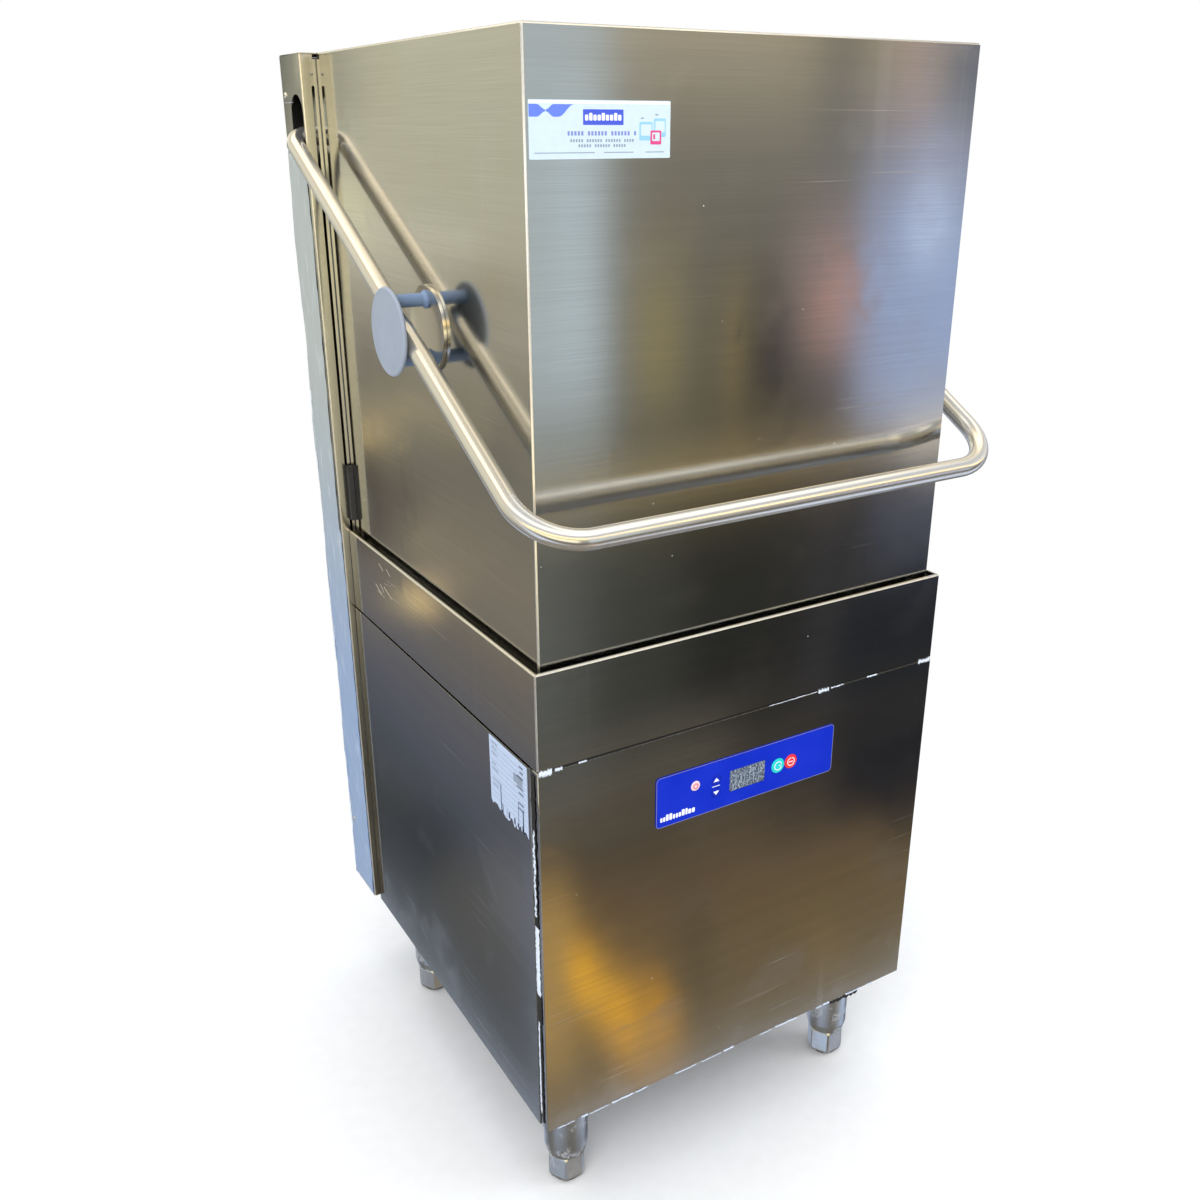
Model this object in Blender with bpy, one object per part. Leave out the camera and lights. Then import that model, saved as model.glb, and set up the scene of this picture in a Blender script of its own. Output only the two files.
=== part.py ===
"""Hood-type, pass-through commercial dishwasher, closed. Metres, +Z up, the front faces -Y.

The origin is on the floor, in the middle of the closed machine's overall width and depth.
Every object is one physical piece. Pieces that move together are parented to an empty on their joint.
"""

import math

import bmesh
import bpy
from mathutils import Matrix, Vector

# ---------------------------------------------------------------- driving dimensions
CABINET_WIDTH = 0.630
CABINET_DEPTH = 0.610  # front plane to the lift column's front plane
COLUMN_WIDTH = 0.652
COLUMN_DEPTH = 0.088
MACHINE_HEIGHT = 1.512
RIM_TOP = 0.848  # height of the dish tables
SEAM = 0.722  # joint between the rim band and the lower panels
PANEL_BOTTOM = 0.176
COLUMN_BOTTOM = 0.184

GAP = 0.0003  # between pieces that touch
SHEET = 0.0012
HOOD_SHEET = 0.0015
HOOD_SIDE_INSET = 0.0115
HOOD_FRONT_INSET = 0.0125

TUBE_RADIUS = 0.012
ARM_OFFSET = 0.339  # handle arm's centre line from the middle plane
PIVOT_DEPTH = 0.640
PIVOT_HEIGHT = 1.410
BAR_REACH = 0.058  # grip bar's centre line in front of the cabinet
BAR_HEIGHT = 1.0195
HANDLE_SWING = math.radians(58.25)

OVERALL_DEPTH = BAR_REACH + TUBE_RADIUS + CABINET_DEPTH + COLUMN_DEPTH
FRONT = BAR_REACH + TUBE_RADIUS - OVERALL_DEPTH / 2
REAR = OVERALL_DEPTH / 2
COLUMN_FRONT = FRONT + CABINET_DEPTH
PIVOT = Vector((0.0, FRONT + PIVOT_DEPTH, PIVOT_HEIGHT))
CENTRE = FRONT + 0.312  # wash arms' axis
HALF_CABINET = CABINET_WIDTH / 2
HALF_COLUMN = COLUMN_WIDTH / 2
HALF_HOOD = HALF_CABINET - HOOD_SIDE_INSET
HOOD_FRONT = FRONT + HOOD_FRONT_INSET

DECK = 0.830  # top of the tank's flange, where the hood closes
HOOD_BOTTOM = DECK + 0.003
RIGHT, LEFT = 1, -1

# ---------------------------------------------------------------- scene and materials
for old in list(bpy.data.objects):
    bpy.data.objects.remove(old)


def material(name, colour, roughness, metallic):
    made = bpy.data.materials.new(name)
    made.use_nodes = True
    shader = made.node_tree.nodes["Principled BSDF"]
    shader.inputs["Base Color"].default_value = (*colour, 1.0)
    shader.inputs["Roughness"].default_value = roughness
    shader.inputs["Metallic"].default_value = metallic
    return made


STEEL = material("brushed_steel", (0.42, 0.41, 0.38), 0.32, 1.0)
COLUMN_STEEL = material("column_steel", (0.40, 0.40, 0.39), 0.35, 1.0)
TUBE_STEEL = material("handle_steel", (0.62, 0.60, 0.56), 0.22, 1.0)
INNER_STEEL = material("inner_steel", (0.55, 0.55, 0.54), 0.30, 1.0)
FRAME_STEEL = material("frame_steel", (0.35, 0.35, 0.36), 0.45, 1.0)
LEG_METAL = material("leg_metal", (0.38, 0.40, 0.44), 0.35, 1.0)
GUIDE_PLASTIC = material("guide_plastic", (0.42, 0.50, 0.62), 0.45, 0.0)
GLIDE_PLASTIC = material("glide_plastic", (0.80, 0.80, 0.76), 0.50, 0.0)
FASCIA_BLUE = material("fascia_blue", (0.01, 0.04, 0.60), 0.35, 0.0)
DISPLAY_GREY = material("display_grey", (0.16, 0.20, 0.26), 0.20, 0.0)
KEY_WHITE = material("key_white", (0.80, 0.55, 0.58), 0.40, 0.0)
KEY_BLUE = material("key_blue", (0.01, 0.04, 0.55), 0.40, 0.0)
KEY_GREEN = material("key_green", (0.02, 0.62, 0.58), 0.40, 0.0)
KEY_RED = material("key_red", (0.75, 0.03, 0.04), 0.40, 0.0)
HOUSING_BLACK = material("housing_black", (0.03, 0.03, 0.03), 0.60, 0.0)
MOTOR_GREY = material("motor_grey", (0.18, 0.19, 0.20), 0.50, 0.4)
HOSE_RUBBER = material("hose_rubber", (0.02, 0.02, 0.02), 0.70, 0.0)
SPRING_STEEL = material("spring_steel", (0.30, 0.30, 0.31), 0.35, 1.0)


# ---------------------------------------------------------------- modelling tools
def body(name, location):
    """An empty on a joint, which carries the pieces that move with it."""
    empty = bpy.data.objects.new("body_" + name, None)
    empty.location = location
    bpy.context.scene.collection.objects.link(empty)
    return empty


def add(name, data, surface, carrier, location=(0.0, 0.0, 0.0), rotation=(0.0, 0.0, 0.0)):
    """Places a mesh or curve in the scene by its world location, carried by a body."""
    data.materials.append(surface)
    made = bpy.data.objects.new(name, data)
    made.parent = carrier
    made.location = Vector(location) - carrier.location
    made.rotation_euler = rotation
    bpy.context.scene.collection.objects.link(made)
    return made


def mesh_of(name, shape):
    """Turns a bmesh into mesh data with its faces pointing out."""
    bmesh.ops.recalc_face_normals(shape, faces=shape.faces[:])
    made = bpy.data.meshes.new(name)
    shape.to_mesh(made)
    shape.free()
    return made


def inside(point, boxes):
    return any(all(b[2 * k] < point[k] < b[2 * k + 1] for k in range(3)) for b in boxes)


def blocks(name, boxes, cuts=()):
    """Boxes (x0, x1, y0, y1, z0, z1) joined into one solid, less the cuts: bent sheet and welded bar."""
    lines = [sorted({b[i] for b in (*boxes, *cuts) for i in (2 * k, 2 * k + 1)}) for k in range(3)]
    counts = [len(line) - 1 for line in lines]
    middles = [[(a + b) / 2 for a, b in zip(line, line[1:])] for line in lines]

    def solid(cell):
        if not all(0 <= cell[k] < counts[k] for k in range(3)):
            return False
        point = [middles[k][cell[k]] for k in range(3)]
        return inside(point, boxes) and not inside(point, cuts)

    shape = bmesh.new()
    corners = {}

    def corner(index):
        if index not in corners:
            corners[index] = shape.verts.new([lines[k][index[k]] for k in range(3)])
        return corners[index]

    cells = [(i, j, k) for i in range(counts[0]) for j in range(counts[1]) for k in range(counts[2])]
    for cell in filter(solid, cells):
        for axis in range(3):
            for step in (0, 1):
                beyond = list(cell)
                beyond[axis] += 2 * step - 1
                if solid(tuple(beyond)):
                    continue
                a, b = [k for k in range(3) if k != axis]
                around = []
                for da, db in ((0, 0), (1, 0), (1, 1), (0, 1)):
                    at = list(cell)
                    at[axis] += step
                    at[a] += da
                    at[b] += db
                    around.append(corner(tuple(at)))
                shape.faces.new(around)
    return mesh_of(name, shape)


def flipped(boxes, side):
    """The same boxes on the right (side 1) or mirrored to the left (side -1)."""
    return [(*sorted((side * b[0], side * b[1])), *b[2:]) for b in boxes]


def turned(name, profile, segments=24):
    """A solid turned about Z from (radius, height) points. A profile that closes on itself makes a ring."""
    shape = bmesh.new()
    rings = []
    for radius, height in profile:
        if radius < 1e-6:
            rings.append([shape.verts.new((0, 0, height))])
            continue
        angles = [2 * math.pi * i / segments for i in range(segments)]
        rings.append([shape.verts.new((radius * math.cos(a), radius * math.sin(a), height)) for a in angles])
    closed_ring = profile[0][0] > 1e-6
    pairs = list(zip(rings, rings[1:])) + ([(rings[-1], rings[0])] if closed_ring else [])
    for low, high in pairs:
        for i in range(segments):
            j = (i + 1) % segments
            if len(low) == 1:
                shape.faces.new((low[0], high[j], high[i]))
            elif len(high) == 1:
                shape.faces.new((low[i], low[j], high[0]))
            else:
                shape.faces.new((low[i], low[j], high[j], high[i]))
    made = mesh_of(name, shape)
    made.shade_smooth()
    made.set_sharp_from_angle(angle=math.radians(40))
    return made


def rod(name, radius, start, end, segments=24):
    """A plain cylinder about Z."""
    return turned(name, [(0, start), (radius, start), (radius, end), (0, end)], segments)


def ring(name, inner, outer, start, end, segments=24):
    return turned(name, [(inner, start), (outer, start), (outer, end), (inner, end)], segments)


def helper(name, data, location=(0.0, 0.0, 0.0), rotation=(0.0, 0.0, 0.0)):
    """A shape that only joins or cuts another."""
    made = bpy.data.objects.new(name, data)
    made.location = location
    made.rotation_euler = rotation
    made.hide_render = True
    made.display_type = "WIRE"
    bpy.context.scene.collection.objects.link(made)
    return made


def boolean(target, other, operation):
    modifier = target.modifiers.new(operation.lower(), "BOOLEAN")
    modifier.object = other
    modifier.operation = operation


def tube(name, points, radius, resolution):
    """A round bar along a line of points."""
    made = bpy.data.curves.new(name, "CURVE")
    made.dimensions = "3D"
    made.bevel_depth = radius
    made.bevel_resolution = resolution
    made.use_fill_caps = True
    line = made.splines.new("POLY")
    line.points.add(len(points) - 1)
    for target, point in zip(line.points, points):
        target.co = (*point, 1.0)
    return made


def rounded(corners, radii, steps=8):
    """A polyline with each inner corner replaced by an arc."""
    corners = [Vector(c) for c in corners]
    points = [corners[0]]
    for before, here, after, radius in zip(corners, corners[1:], corners[2:], radii):
        back, ahead = (before - here).normalized(), (after - here).normalized()
        half = back.angle(ahead) / 2
        bisector = (back + ahead).normalized()
        middle = here + bisector * (radius / math.sin(half))
        start = here + back * (radius / math.tan(half)) - middle
        end = here + ahead * (radius / math.tan(half)) - middle
        turn = start.angle(end)
        axis = start.cross(end).normalized()
        points += [middle + Matrix.Rotation(turn * i / steps, 3, axis) @ start for i in range(steps + 1)]
    return [*points, corners[-1]]


def rounded_rectangle(half_x, half_y, radius, centre, height, steps=4):
    """The corner points of a level rectangle with round corners, anticlockwise from above."""
    points = []
    for quarter, (sx, sy) in enumerate(((1, 1), (-1, 1), (-1, -1), (1, -1))):
        for i in range(steps + 1):
            angle = math.pi / 2 * (quarter + i / steps)
            x = centre[0] + sx * (half_x - radius) + radius * math.cos(angle)
            y = centre[1] + sy * (half_y - radius) + radius * math.sin(angle)
            points.append((x, y, height))
    return points


ALONG_X = (0.0, math.pi / 2, 0.0)  # turns a piece made about Z so that its +Z points along +X
ALONG_MINUS_X = (0.0, -math.pi / 2, 0.0)
ALONG_MINUS_Y = (math.pi / 2, 0.0, 0.0)

# ---------------------------------------------------------------- bodies
cabinet = body("cabinet", (0.0, 0.0, 0.0))
hood = body("hood", (0.0, HOOD_FRONT, HOOD_BOTTOM))
handle = body("handle", PIVOT)

# ---------------------------------------------------------------- frame, legs and outer panels
PUMP = Vector((0.085, CENTRE, 0.300))
BOILER = Vector((-0.165, FRONT + 0.455, 0.0))
FRAME_BAR = 0.025
FRAME_HALF = 0.300
FRAME_FRONT = FRONT + 0.020
FRAME_REAR = COLUMN_FRONT - 0.006
FRAME_LOW = 0.182
FRAME_TOP = 0.700
LEG_X = 0.245
LEG_DEPTHS = {"front": 0.079, "rear": 0.560}


def base_frame():
    """Welded square bar: a ring at the bottom, four posts, upper rails, and plates under pump and boiler."""
    sides = ((-FRAME_HALF, -FRAME_HALF + FRAME_BAR), (FRAME_HALF - FRAME_BAR, FRAME_HALF))
    ends = ((FRAME_FRONT, FRAME_FRONT + FRAME_BAR), (FRAME_REAR - FRAME_BAR, FRAME_REAR))
    boxes = [(*x, *y, FRAME_LOW, FRAME_TOP) for x in sides for y in ends]
    for low in (FRAME_LOW, FRAME_TOP - FRAME_BAR):
        boxes += [(*x, FRAME_FRONT, FRAME_REAR, low, low + FRAME_BAR) for x in sides]
    front_end, rear_end = ends
    top_rails = ((front_end, FRAME_TOP - FRAME_BAR), (rear_end, 0.400))
    for y, low in ((front_end, FRAME_LOW), (rear_end, FRAME_LOW), *top_rails):
        boxes.append((-FRAME_HALF, FRAME_HALF, *y, low, low + FRAME_BAR))
    boxes.append((-FRAME_HALF, FRAME_HALF, CENTRE - 0.06, CENTRE + 0.06, FRAME_LOW, FRAME_LOW + 0.004))
    boxes.append((BOILER.x - 0.09, BOILER.x + 0.09, CENTRE, FRAME_REAR, FRAME_LOW, FRAME_LOW + 0.004))
    leg_pads = [
        (x - 0.035, x + 0.035, FRONT + d - 0.035, FRONT + d + 0.035, FRAME_LOW, FRAME_LOW + 0.004)
        for x in (-LEG_X, LEG_X)
        for d in LEG_DEPTHS.values()
    ]
    add("base_frame", blocks("base_frame", boxes + leg_pads), FRAME_STEEL, cabinet)


def side_panel(name, side):
    """A flat side with its front, rear and lower edges folded in. It stands 1.5 mm proud of the rim band."""
    outer = HALF_CABINET + 0.0015
    inner = outer - SHEET
    fold = outer - 0.012
    front, rear = FRONT + 0.017, COLUMN_FRONT - 0.0015
    top = SEAM - 0.0005
    boxes = [
        (inner, outer, front, rear, PANEL_BOTTOM, top),
        (fold, outer, front, front + SHEET, PANEL_BOTTOM, top),
        (fold, outer, rear - SHEET, rear, PANEL_BOTTOM, top),
        (fold, outer, front, rear, PANEL_BOTTOM, PANEL_BOTTOM + SHEET),
    ]
    add(name, blocks(name, flipped(boxes, side)), STEEL, cabinet)


FASCIA = {"left": -0.1500, "right": 0.1400, "low": 0.5920, "high": 0.6655}


def front_panel():
    """The removable front, folded back on all four edges, with a window behind the control fascia."""
    top = SEAM - 0.0005
    back = FRONT + 0.015
    boxes = [
        (-HALF_CABINET, HALF_CABINET, FRONT, FRONT + SHEET, PANEL_BOTTOM, top),
        (-HALF_CABINET, HALF_CABINET, FRONT, back, PANEL_BOTTOM, PANEL_BOTTOM + SHEET),
        (-HALF_CABINET, HALF_CABINET, FRONT, back, top - SHEET, top),
    ]
    edge = [(HALF_CABINET - SHEET, HALF_CABINET, FRONT, back, PANEL_BOTTOM, top)]
    window = (
        FASCIA["left"] + 0.012,
        FASCIA["right"] - 0.012,
        FRONT - 0.001,
        FRONT + 0.003,
        FASCIA["low"] + 0.010,
        FASCIA["high"] - 0.008,
    )
    boxes += flipped(edge, RIGHT) + flipped(edge, LEFT)
    add("front_panel", blocks("front_panel", boxes, [window]), STEEL, cabinet)


def rim_band():
    """The band round the front and sides that the hood closes into, hemmed at the top."""
    rear = COLUMN_FRONT - 0.0015
    hem, flange = 0.004, 0.010
    boxes = [(-HALF_CABINET, HALF_CABINET, FRONT, FRONT + SHEET, SEAM, RIM_TOP)]
    boxes.append((-HALF_CABINET, HALF_CABINET, FRONT, FRONT + hem, RIM_TOP - SHEET, RIM_TOP))
    boxes.append((-HALF_CABINET, HALF_CABINET, FRONT, FRONT + flange, SEAM, SEAM + SHEET))
    side = [
        (HALF_CABINET - SHEET, HALF_CABINET, FRONT, rear, SEAM, RIM_TOP),
        (HALF_CABINET - hem, HALF_CABINET, FRONT, rear, RIM_TOP - SHEET, RIM_TOP),
        (HALF_CABINET - flange, HALF_CABINET, FRONT, rear, SEAM, SEAM + SHEET),
    ]
    boxes += flipped(side, RIGHT) + flipped(side, LEFT)
    add("rim_band", blocks("rim_band", boxes), STEEL, cabinet)


LEG_RADIUS = 0.0315
SLEEVE_END = 0.046
STUD_RADIUS = 0.012


def leg(place, x, y):
    """A leg sleeve welded under the frame, and the screwed foot that levels the machine."""
    top = FRAME_LOW - GAP
    bore = STUD_RADIUS + 0.0006
    sleeve = [
        (bore, SLEEVE_END),
        (0.0280, SLEEVE_END),
        (LEG_RADIUS, SLEEVE_END + 0.014),
        (LEG_RADIUS, top),
        (bore, top),
    ]
    add("leg_" + place, turned("leg_" + place, sleeve), LEG_METAL, cabinet, (x, y, 0))
    carrier = body("foot_" + place, (x, y, 0))
    hexagon = rod("foot_" + place, 0.0280, 0.005, SLEEVE_END - GAP, 6)
    foot = add("foot_" + place, hexagon, LEG_METAL, carrier, (x, y, 0))
    pad = turned("pad_" + place, [(0, 0), (0.0215, 0), (0.0235, 0.006), (0, 0.006)], 16)
    stud = rod("stud_" + place, STUD_RADIUS, 0.030, 0.120, 16)
    boolean(foot, helper("pad_" + place, pad, (x, y, 0)), "UNION")
    boolean(foot, helper("stud_" + place, stud, (x, y, 0)), "UNION")


base_frame()
side_panel("side_panel_left", LEFT)
side_panel("side_panel_right", RIGHT)
front_panel()
rim_band()
for end, depth in LEG_DEPTHS.items():
    for word, side in (("left", LEFT), ("right", RIGHT)):
        leg(f"{end}_{word}", side * LEG_X, FRONT + depth)

# ---------------------------------------------------------------- control panel
FASCIA_FACE = FRONT - 0.0013
KEYS = {
    "power": (-0.0897, 0.6381, 0.0070, KEY_WHITE),
    "up": (-0.0573, 0.6370, 0.0070, KEY_BLUE),
    "down": (-0.0573, 0.6188, 0.0070, KEY_BLUE),
    "start": (0.0444, 0.6281, 0.0108, KEY_GREEN),
    "stop": (0.0662, 0.6283, 0.0104, KEY_RED),
}
DISPLAY = {"left": -0.0350, "right": 0.0222, "low": 0.6125, "high": 0.6430}
FASCIA_CORNER = 0.006


def fascia_outline(left, right, low, high, radius, near, far, name):
    """A rounded rectangle in the XZ plane, extruded from near to far in Y."""
    centre = ((left + right) / 2, (low + high) / 2)
    loop = rounded_rectangle((right - left) / 2, (high - low) / 2, radius, centre, 0.0)
    shape = bmesh.new()
    face = shape.faces.new([shape.verts.new((x, near, z)) for x, z, _ in loop])
    sides = bmesh.ops.extrude_face_region(shape, geom=[face])
    moved = [v for v in sides["geom"] if isinstance(v, bmesh.types.BMVert)]
    bmesh.ops.translate(shape, verts=moved, vec=(0, far - near, 0))
    return mesh_of(name, shape)


def control_panel():
    plate = fascia_outline(*FASCIA.values(), FASCIA_CORNER, FASCIA_FACE, FRONT - GAP, "control_fascia")
    fascia = add("control_fascia", plate, FASCIA_BLUE, cabinet)
    grow = 0.0004
    opening = [
        DISPLAY["left"] - grow,
        DISPLAY["right"] + grow,
        FASCIA_FACE - 0.002,
        FRONT + 0.002,
        DISPLAY["low"] - grow,
        DISPLAY["high"] + grow,
    ]
    boolean(fascia, helper("display_opening", blocks("display_opening", [opening])), "DIFFERENCE")
    window = [
        DISPLAY["left"],
        DISPLAY["right"],
        FASCIA_FACE + GAP,
        FRONT + 0.0016,
        DISPLAY["low"],
        DISPLAY["high"],
    ]
    add("display_window", blocks("display_window", [window]), DISPLAY_GREY, cabinet)
    for word, (x, z, radius, surface) in KEYS.items():
        hole = rod("hole_" + word, radius + GAP, -0.004, 0.004)
        at = (x, FRONT, z)
        boolean(fascia, helper("hole_" + word, hole, at, ALONG_MINUS_Y), "DIFFERENCE")
        dome = [(0, -0.0012), (radius, -0.0012), (radius, 0.0013), (radius * 0.86, 0.0018), (0, 0.0020)]
        carrier = body("key_" + word, at)
        add("key_" + word, turned("key_" + word, dome), surface, carrier, at, ALONG_MINUS_Y)
    near, far = FRONT + 0.0025, FRONT + 0.045
    left, right = FASCIA["left"] + 0.008, FASCIA["right"] - 0.008
    low, high = FASCIA["low"] + 0.004, FASCIA["high"] - 0.004
    wall = 0.002
    hollow = (left + wall, right - wall, near - wall, far - wall, low + wall, high - wall)
    tray = blocks("control_housing", [(left, right, near, far, low, high)], [hollow])
    add("control_housing", tray, HOUSING_BLACK, cabinet)


control_panel()

# ---------------------------------------------------------------- wash tank and what stands in it
TANK_HALF = 0.265
TANK_SHEET = 0.0015
SUMP_HALF = 0.150
DRAIN_Y = CENTRE + 0.090
DRAIN_RADIUS = 0.025
SUMP_FLOOR = 0.525
STRAINER = 0.745
SPINDLE_RADIUS = 0.018


def wash_tank():
    """A pressed tank: a flange the hood closes on, steep walls, a sloping floor and a sump with a drain."""
    flange_y = (FRONT + 0.0025 + COLUMN_FRONT - 0.0015) / 2
    flange_half = (COLUMN_FRONT - FRONT - 0.004) / 2
    middle = (0.0, CENTRE)
    loops = [
        rounded_rectangle(0.3125, flange_half, 0.004, (0.0, flange_y), DECK - 0.012),
        rounded_rectangle(0.3125, flange_half, 0.004, (0.0, flange_y), DECK),
        rounded_rectangle(TANK_HALF, TANK_HALF, 0.030, middle, DECK),
        rounded_rectangle(TANK_HALF - 0.003, TANK_HALF - 0.003, 0.030, middle, 0.665),
        rounded_rectangle(SUMP_HALF, SUMP_HALF, 0.030, middle, 0.615),
        rounded_rectangle(SUMP_HALF - 0.004, SUMP_HALF - 0.004, 0.028, middle, SUMP_FLOOR + 0.005),
        rounded_rectangle(DRAIN_RADIUS, DRAIN_RADIUS, DRAIN_RADIUS - 1e-5, (0.0, DRAIN_Y), SUMP_FLOOR),
    ]
    shape = bmesh.new()
    rings = [[shape.verts.new(point) for point in loop] for loop in loops]
    count = len(rings[0])
    for upper, lower in zip(rings, rings[1:]):
        for i in range(count):
            j = (i + 1) % count
            shape.faces.new((upper[i], upper[j], lower[j], lower[i]))
    made = bpy.data.meshes.new("wash_tank")
    shape.to_mesh(made)
    shape.free()
    tank = add("wash_tank", made, INNER_STEEL, cabinet)
    wall = tank.modifiers.new("wall", "SOLIDIFY")
    wall.thickness = TANK_SHEET
    wall.offset = -1.0


def raise_faces(shape, faces, height):
    """Extrudes faces straight up and gives the raised ones."""
    raised = bmesh.ops.extrude_face_region(shape, geom=faces)["geom"]
    moved = [v for v in raised if isinstance(v, bmesh.types.BMVert)]
    bmesh.ops.translate(shape, verts=moved, vec=(0, 0, height))
    return [f for f in raised if isinstance(f, bmesh.types.BMFace)]


def strainer(name, side):
    """One half of the lift-out strainer over the tank: a flat sheet with a low lip, cut round the spindle."""
    edge, corner = TANK_HALF - 0.0035, 0.029
    inner, hub = 0.001, SPINDLE_RADIUS + 0.0008
    steps = 6
    outline = [(inner, CENTRE - edge)]
    for middle_y, start in ((CENTRE - edge + corner, -math.pi / 2), (CENTRE + edge - corner, 0.0)):
        for i in range(steps + 1):
            angle = start + math.pi / 2 * i / steps
            outline.append((edge - corner + corner * math.cos(angle), middle_y + corner * math.sin(angle)))
    outline.append((inner, CENTRE + edge))
    reach = math.acos(inner / hub)
    for i in range(2 * steps + 1):
        angle = reach - 2 * reach * i / (2 * steps)
        outline.append((hub * math.cos(angle), CENTRE + hub * math.sin(angle)))
    shape = bmesh.new()
    base = shape.faces.new([shape.verts.new((side * x, y, STRAINER)) for x, y in outline])
    top = raise_faces(shape, [base], SHEET)
    lip = bmesh.ops.inset_region(shape, faces=top, thickness=SHEET, use_even_offset=True)["faces"]
    raise_faces(shape, lip, 0.008)
    bmesh.ops.delete(shape, geom=lip, context="FACES_ONLY")
    add(name, mesh_of(name, shape), INNER_STEEL, cabinet)


RACK_TOP = 0.852


def rack_frame():
    """Two angle rails that a basket slides along from table to table, joined by two cross bars."""
    reach = 0.285
    boxes = []
    for low, high, lip in ((0.056, 0.080, 0.056), (0.544, 0.568, 0.5665)):
        boxes.append((-reach, reach, FRONT + low, FRONT + high, RACK_TOP - 0.0015, RACK_TOP))
        boxes.append((-reach, reach, FRONT + lip, FRONT + lip + 0.0015, RACK_TOP - 0.0015, RACK_TOP + 0.018))
        for x in (-reach, reach - 0.020):
            boxes.append((x, x + 0.020, FRONT + lip, FRONT + lip + 0.0015, DECK + GAP, RACK_TOP))
    for x in (-0.205, 0.199):
        boxes.append((x, x + 0.006, FRONT + 0.056, FRONT + 0.568, RACK_TOP - 0.0135, RACK_TOP - 0.0015))
    add("rack_frame", blocks("rack_frame", boxes), INNER_STEEL, cabinet)


HUB_BORE = 0.0106
PIN_RADIUS = 0.0100
LOWER_WASH = 0.7800
LOWER_RINSE = 0.8020
UPPER_WASH = 1.3930
UPPER_RINSE = 1.3760
WASH_ARM = (0.240, 0.0170, 0.018)  # half length, half width, thickness
RINSE_ARM = (0.225, 0.0090, 0.010)


def spray_arm(name, size, base):
    """A flat spray arm with a round hub, turning on its spindle."""
    half_length, half_width, thickness = size
    carrier = body(name, (0.0, CENTRE, base))
    hub_radius = half_width + 0.011
    hub = ring(name, HUB_BORE, hub_radius, 0.0, thickness + 0.0012)
    arm = add(name, hub, INNER_STEEL, carrier, (0.0, CENTRE, base))
    blade = [(HUB_BORE + 0.004, half_length, -half_width, half_width, 0.0004, thickness)]
    for word, side in (("right", RIGHT), ("left", LEFT)):
        data = blocks(f"{name}_blade_{word}", flipped(blade, side))
        boolean(arm, helper(f"{name}_blade_{word}", data, (0.0, CENTRE, base)), "UNION")


def spindles():
    """The lower spindle stands in the sump; the upper one hangs from the riser. Each has a retaining head."""
    lower = [
        (0, SUMP_FLOOR + 0.003),
        (0.030, SUMP_FLOOR + 0.003),
        (0.030, SUMP_FLOOR + 0.020),
        (SPINDLE_RADIUS, SUMP_FLOOR + 0.030),
        (SPINDLE_RADIUS, LOWER_WASH - 0.0006),
        (PIN_RADIUS, LOWER_WASH - 0.0006),
        (PIN_RADIUS, LOWER_RINSE + 0.0125),
        (0.0140, LOWER_RINSE + 0.0125),
        (0.0140, LOWER_RINSE + 0.0190),
        (0, LOWER_RINSE + 0.0200),
    ]
    add("lower_spindle", turned("lower_spindle", lower), INNER_STEEL, cabinet, (0.0, CENTRE, 0.0))
    top = 1.4298
    upper = [
        (0, UPPER_RINSE - 0.0080),
        (0.0140, UPPER_RINSE - 0.0070),
        (0.0140, UPPER_RINSE - 0.0006),
        (PIN_RADIUS, UPPER_RINSE - 0.0006),
        (PIN_RADIUS, UPPER_WASH + 0.0196),
        (0.0200, UPPER_WASH + 0.0196),
        (0.0200, top),
        (0, top),
    ]
    add("upper_spindle", turned("upper_spindle", upper), INNER_STEEL, cabinet, (0.0, CENTRE, 0.0))


def riser_pipe():
    """Carries water from the pump up the chamber's back and forward to the upper arms."""
    depth = FRONT + 0.5885
    run = 1.4620
    corners = [(0.0, depth, DECK + GAP), (0.0, depth, run), (0.0, CENTRE, run), (0.0, CENTRE, 1.4301)]
    add("riser_pipe", tube("riser_pipe", rounded(corners, (0.045, 0.030)), 0.014, 4), INNER_STEEL, cabinet)


def overflow_pipe():
    """The standpipe that plugs the drain and sets the water level. It lifts out to empty the tank."""
    plug = SUMP_FLOOR - 0.004
    outline = [
        (0, plug),
        (DRAIN_RADIUS - 0.004, plug),
        (DRAIN_RADIUS - 0.001, SUMP_FLOOR + 0.0025),
        (DRAIN_RADIUS + 0.004, SUMP_FLOOR + 0.0125),
        (0.014, SUMP_FLOOR + 0.0200),
        (0.014, 0.716),
        (0.0175, 0.718),
        (0.0175, 0.732),
        (0, 0.734),
    ]
    place = (0.0, DRAIN_Y, 0.0)
    carrier = body("overflow_pipe", place)
    add("overflow_pipe", turned("overflow_pipe", outline, 20), GLIDE_PLASTIC, carrier, place)


def drain_fitting():
    """The cup screwed on under the drain, with the spigot that the waste hose goes on."""
    top = SUMP_FLOOR - TANK_SHEET - GAP
    outline = [
        (0, 0.440),
        (0.016, 0.440),
        (0.016, 0.490),
        (0.031, 0.497),
        (0.031, top),
        (DRAIN_RADIUS, top),
        (DRAIN_RADIUS, 0.512),
        (0, 0.512),
    ]
    add("drain_fitting", turned("drain_fitting", outline, 20), HOUSING_BLACK, cabinet, (0.0, DRAIN_Y, 0.0))


def tank_heater():
    """A sheathed heating element looped round the sump."""
    half, height = 0.120, 0.590
    back = CENTRE - SUMP_HALF + 0.006
    corners = [
        (-0.030, back, height),
        (-0.030, CENTRE - half + 0.020, height),
        (-half, CENTRE - half + 0.020, height),
        (-half, CENTRE + 0.045, height),
        (half, CENTRE + 0.045, height),
        (half, CENTRE - half + 0.020, height),
        (0.030, CENTRE - half + 0.020, height),
        (0.030, back, height),
    ]
    bends = (0.006, 0.015, 0.020, 0.020, 0.015, 0.006)
    add("tank_heater", tube("tank_heater", rounded(corners, bends, 5), 0.0042, 2), SPRING_STEEL, cabinet)


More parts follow.
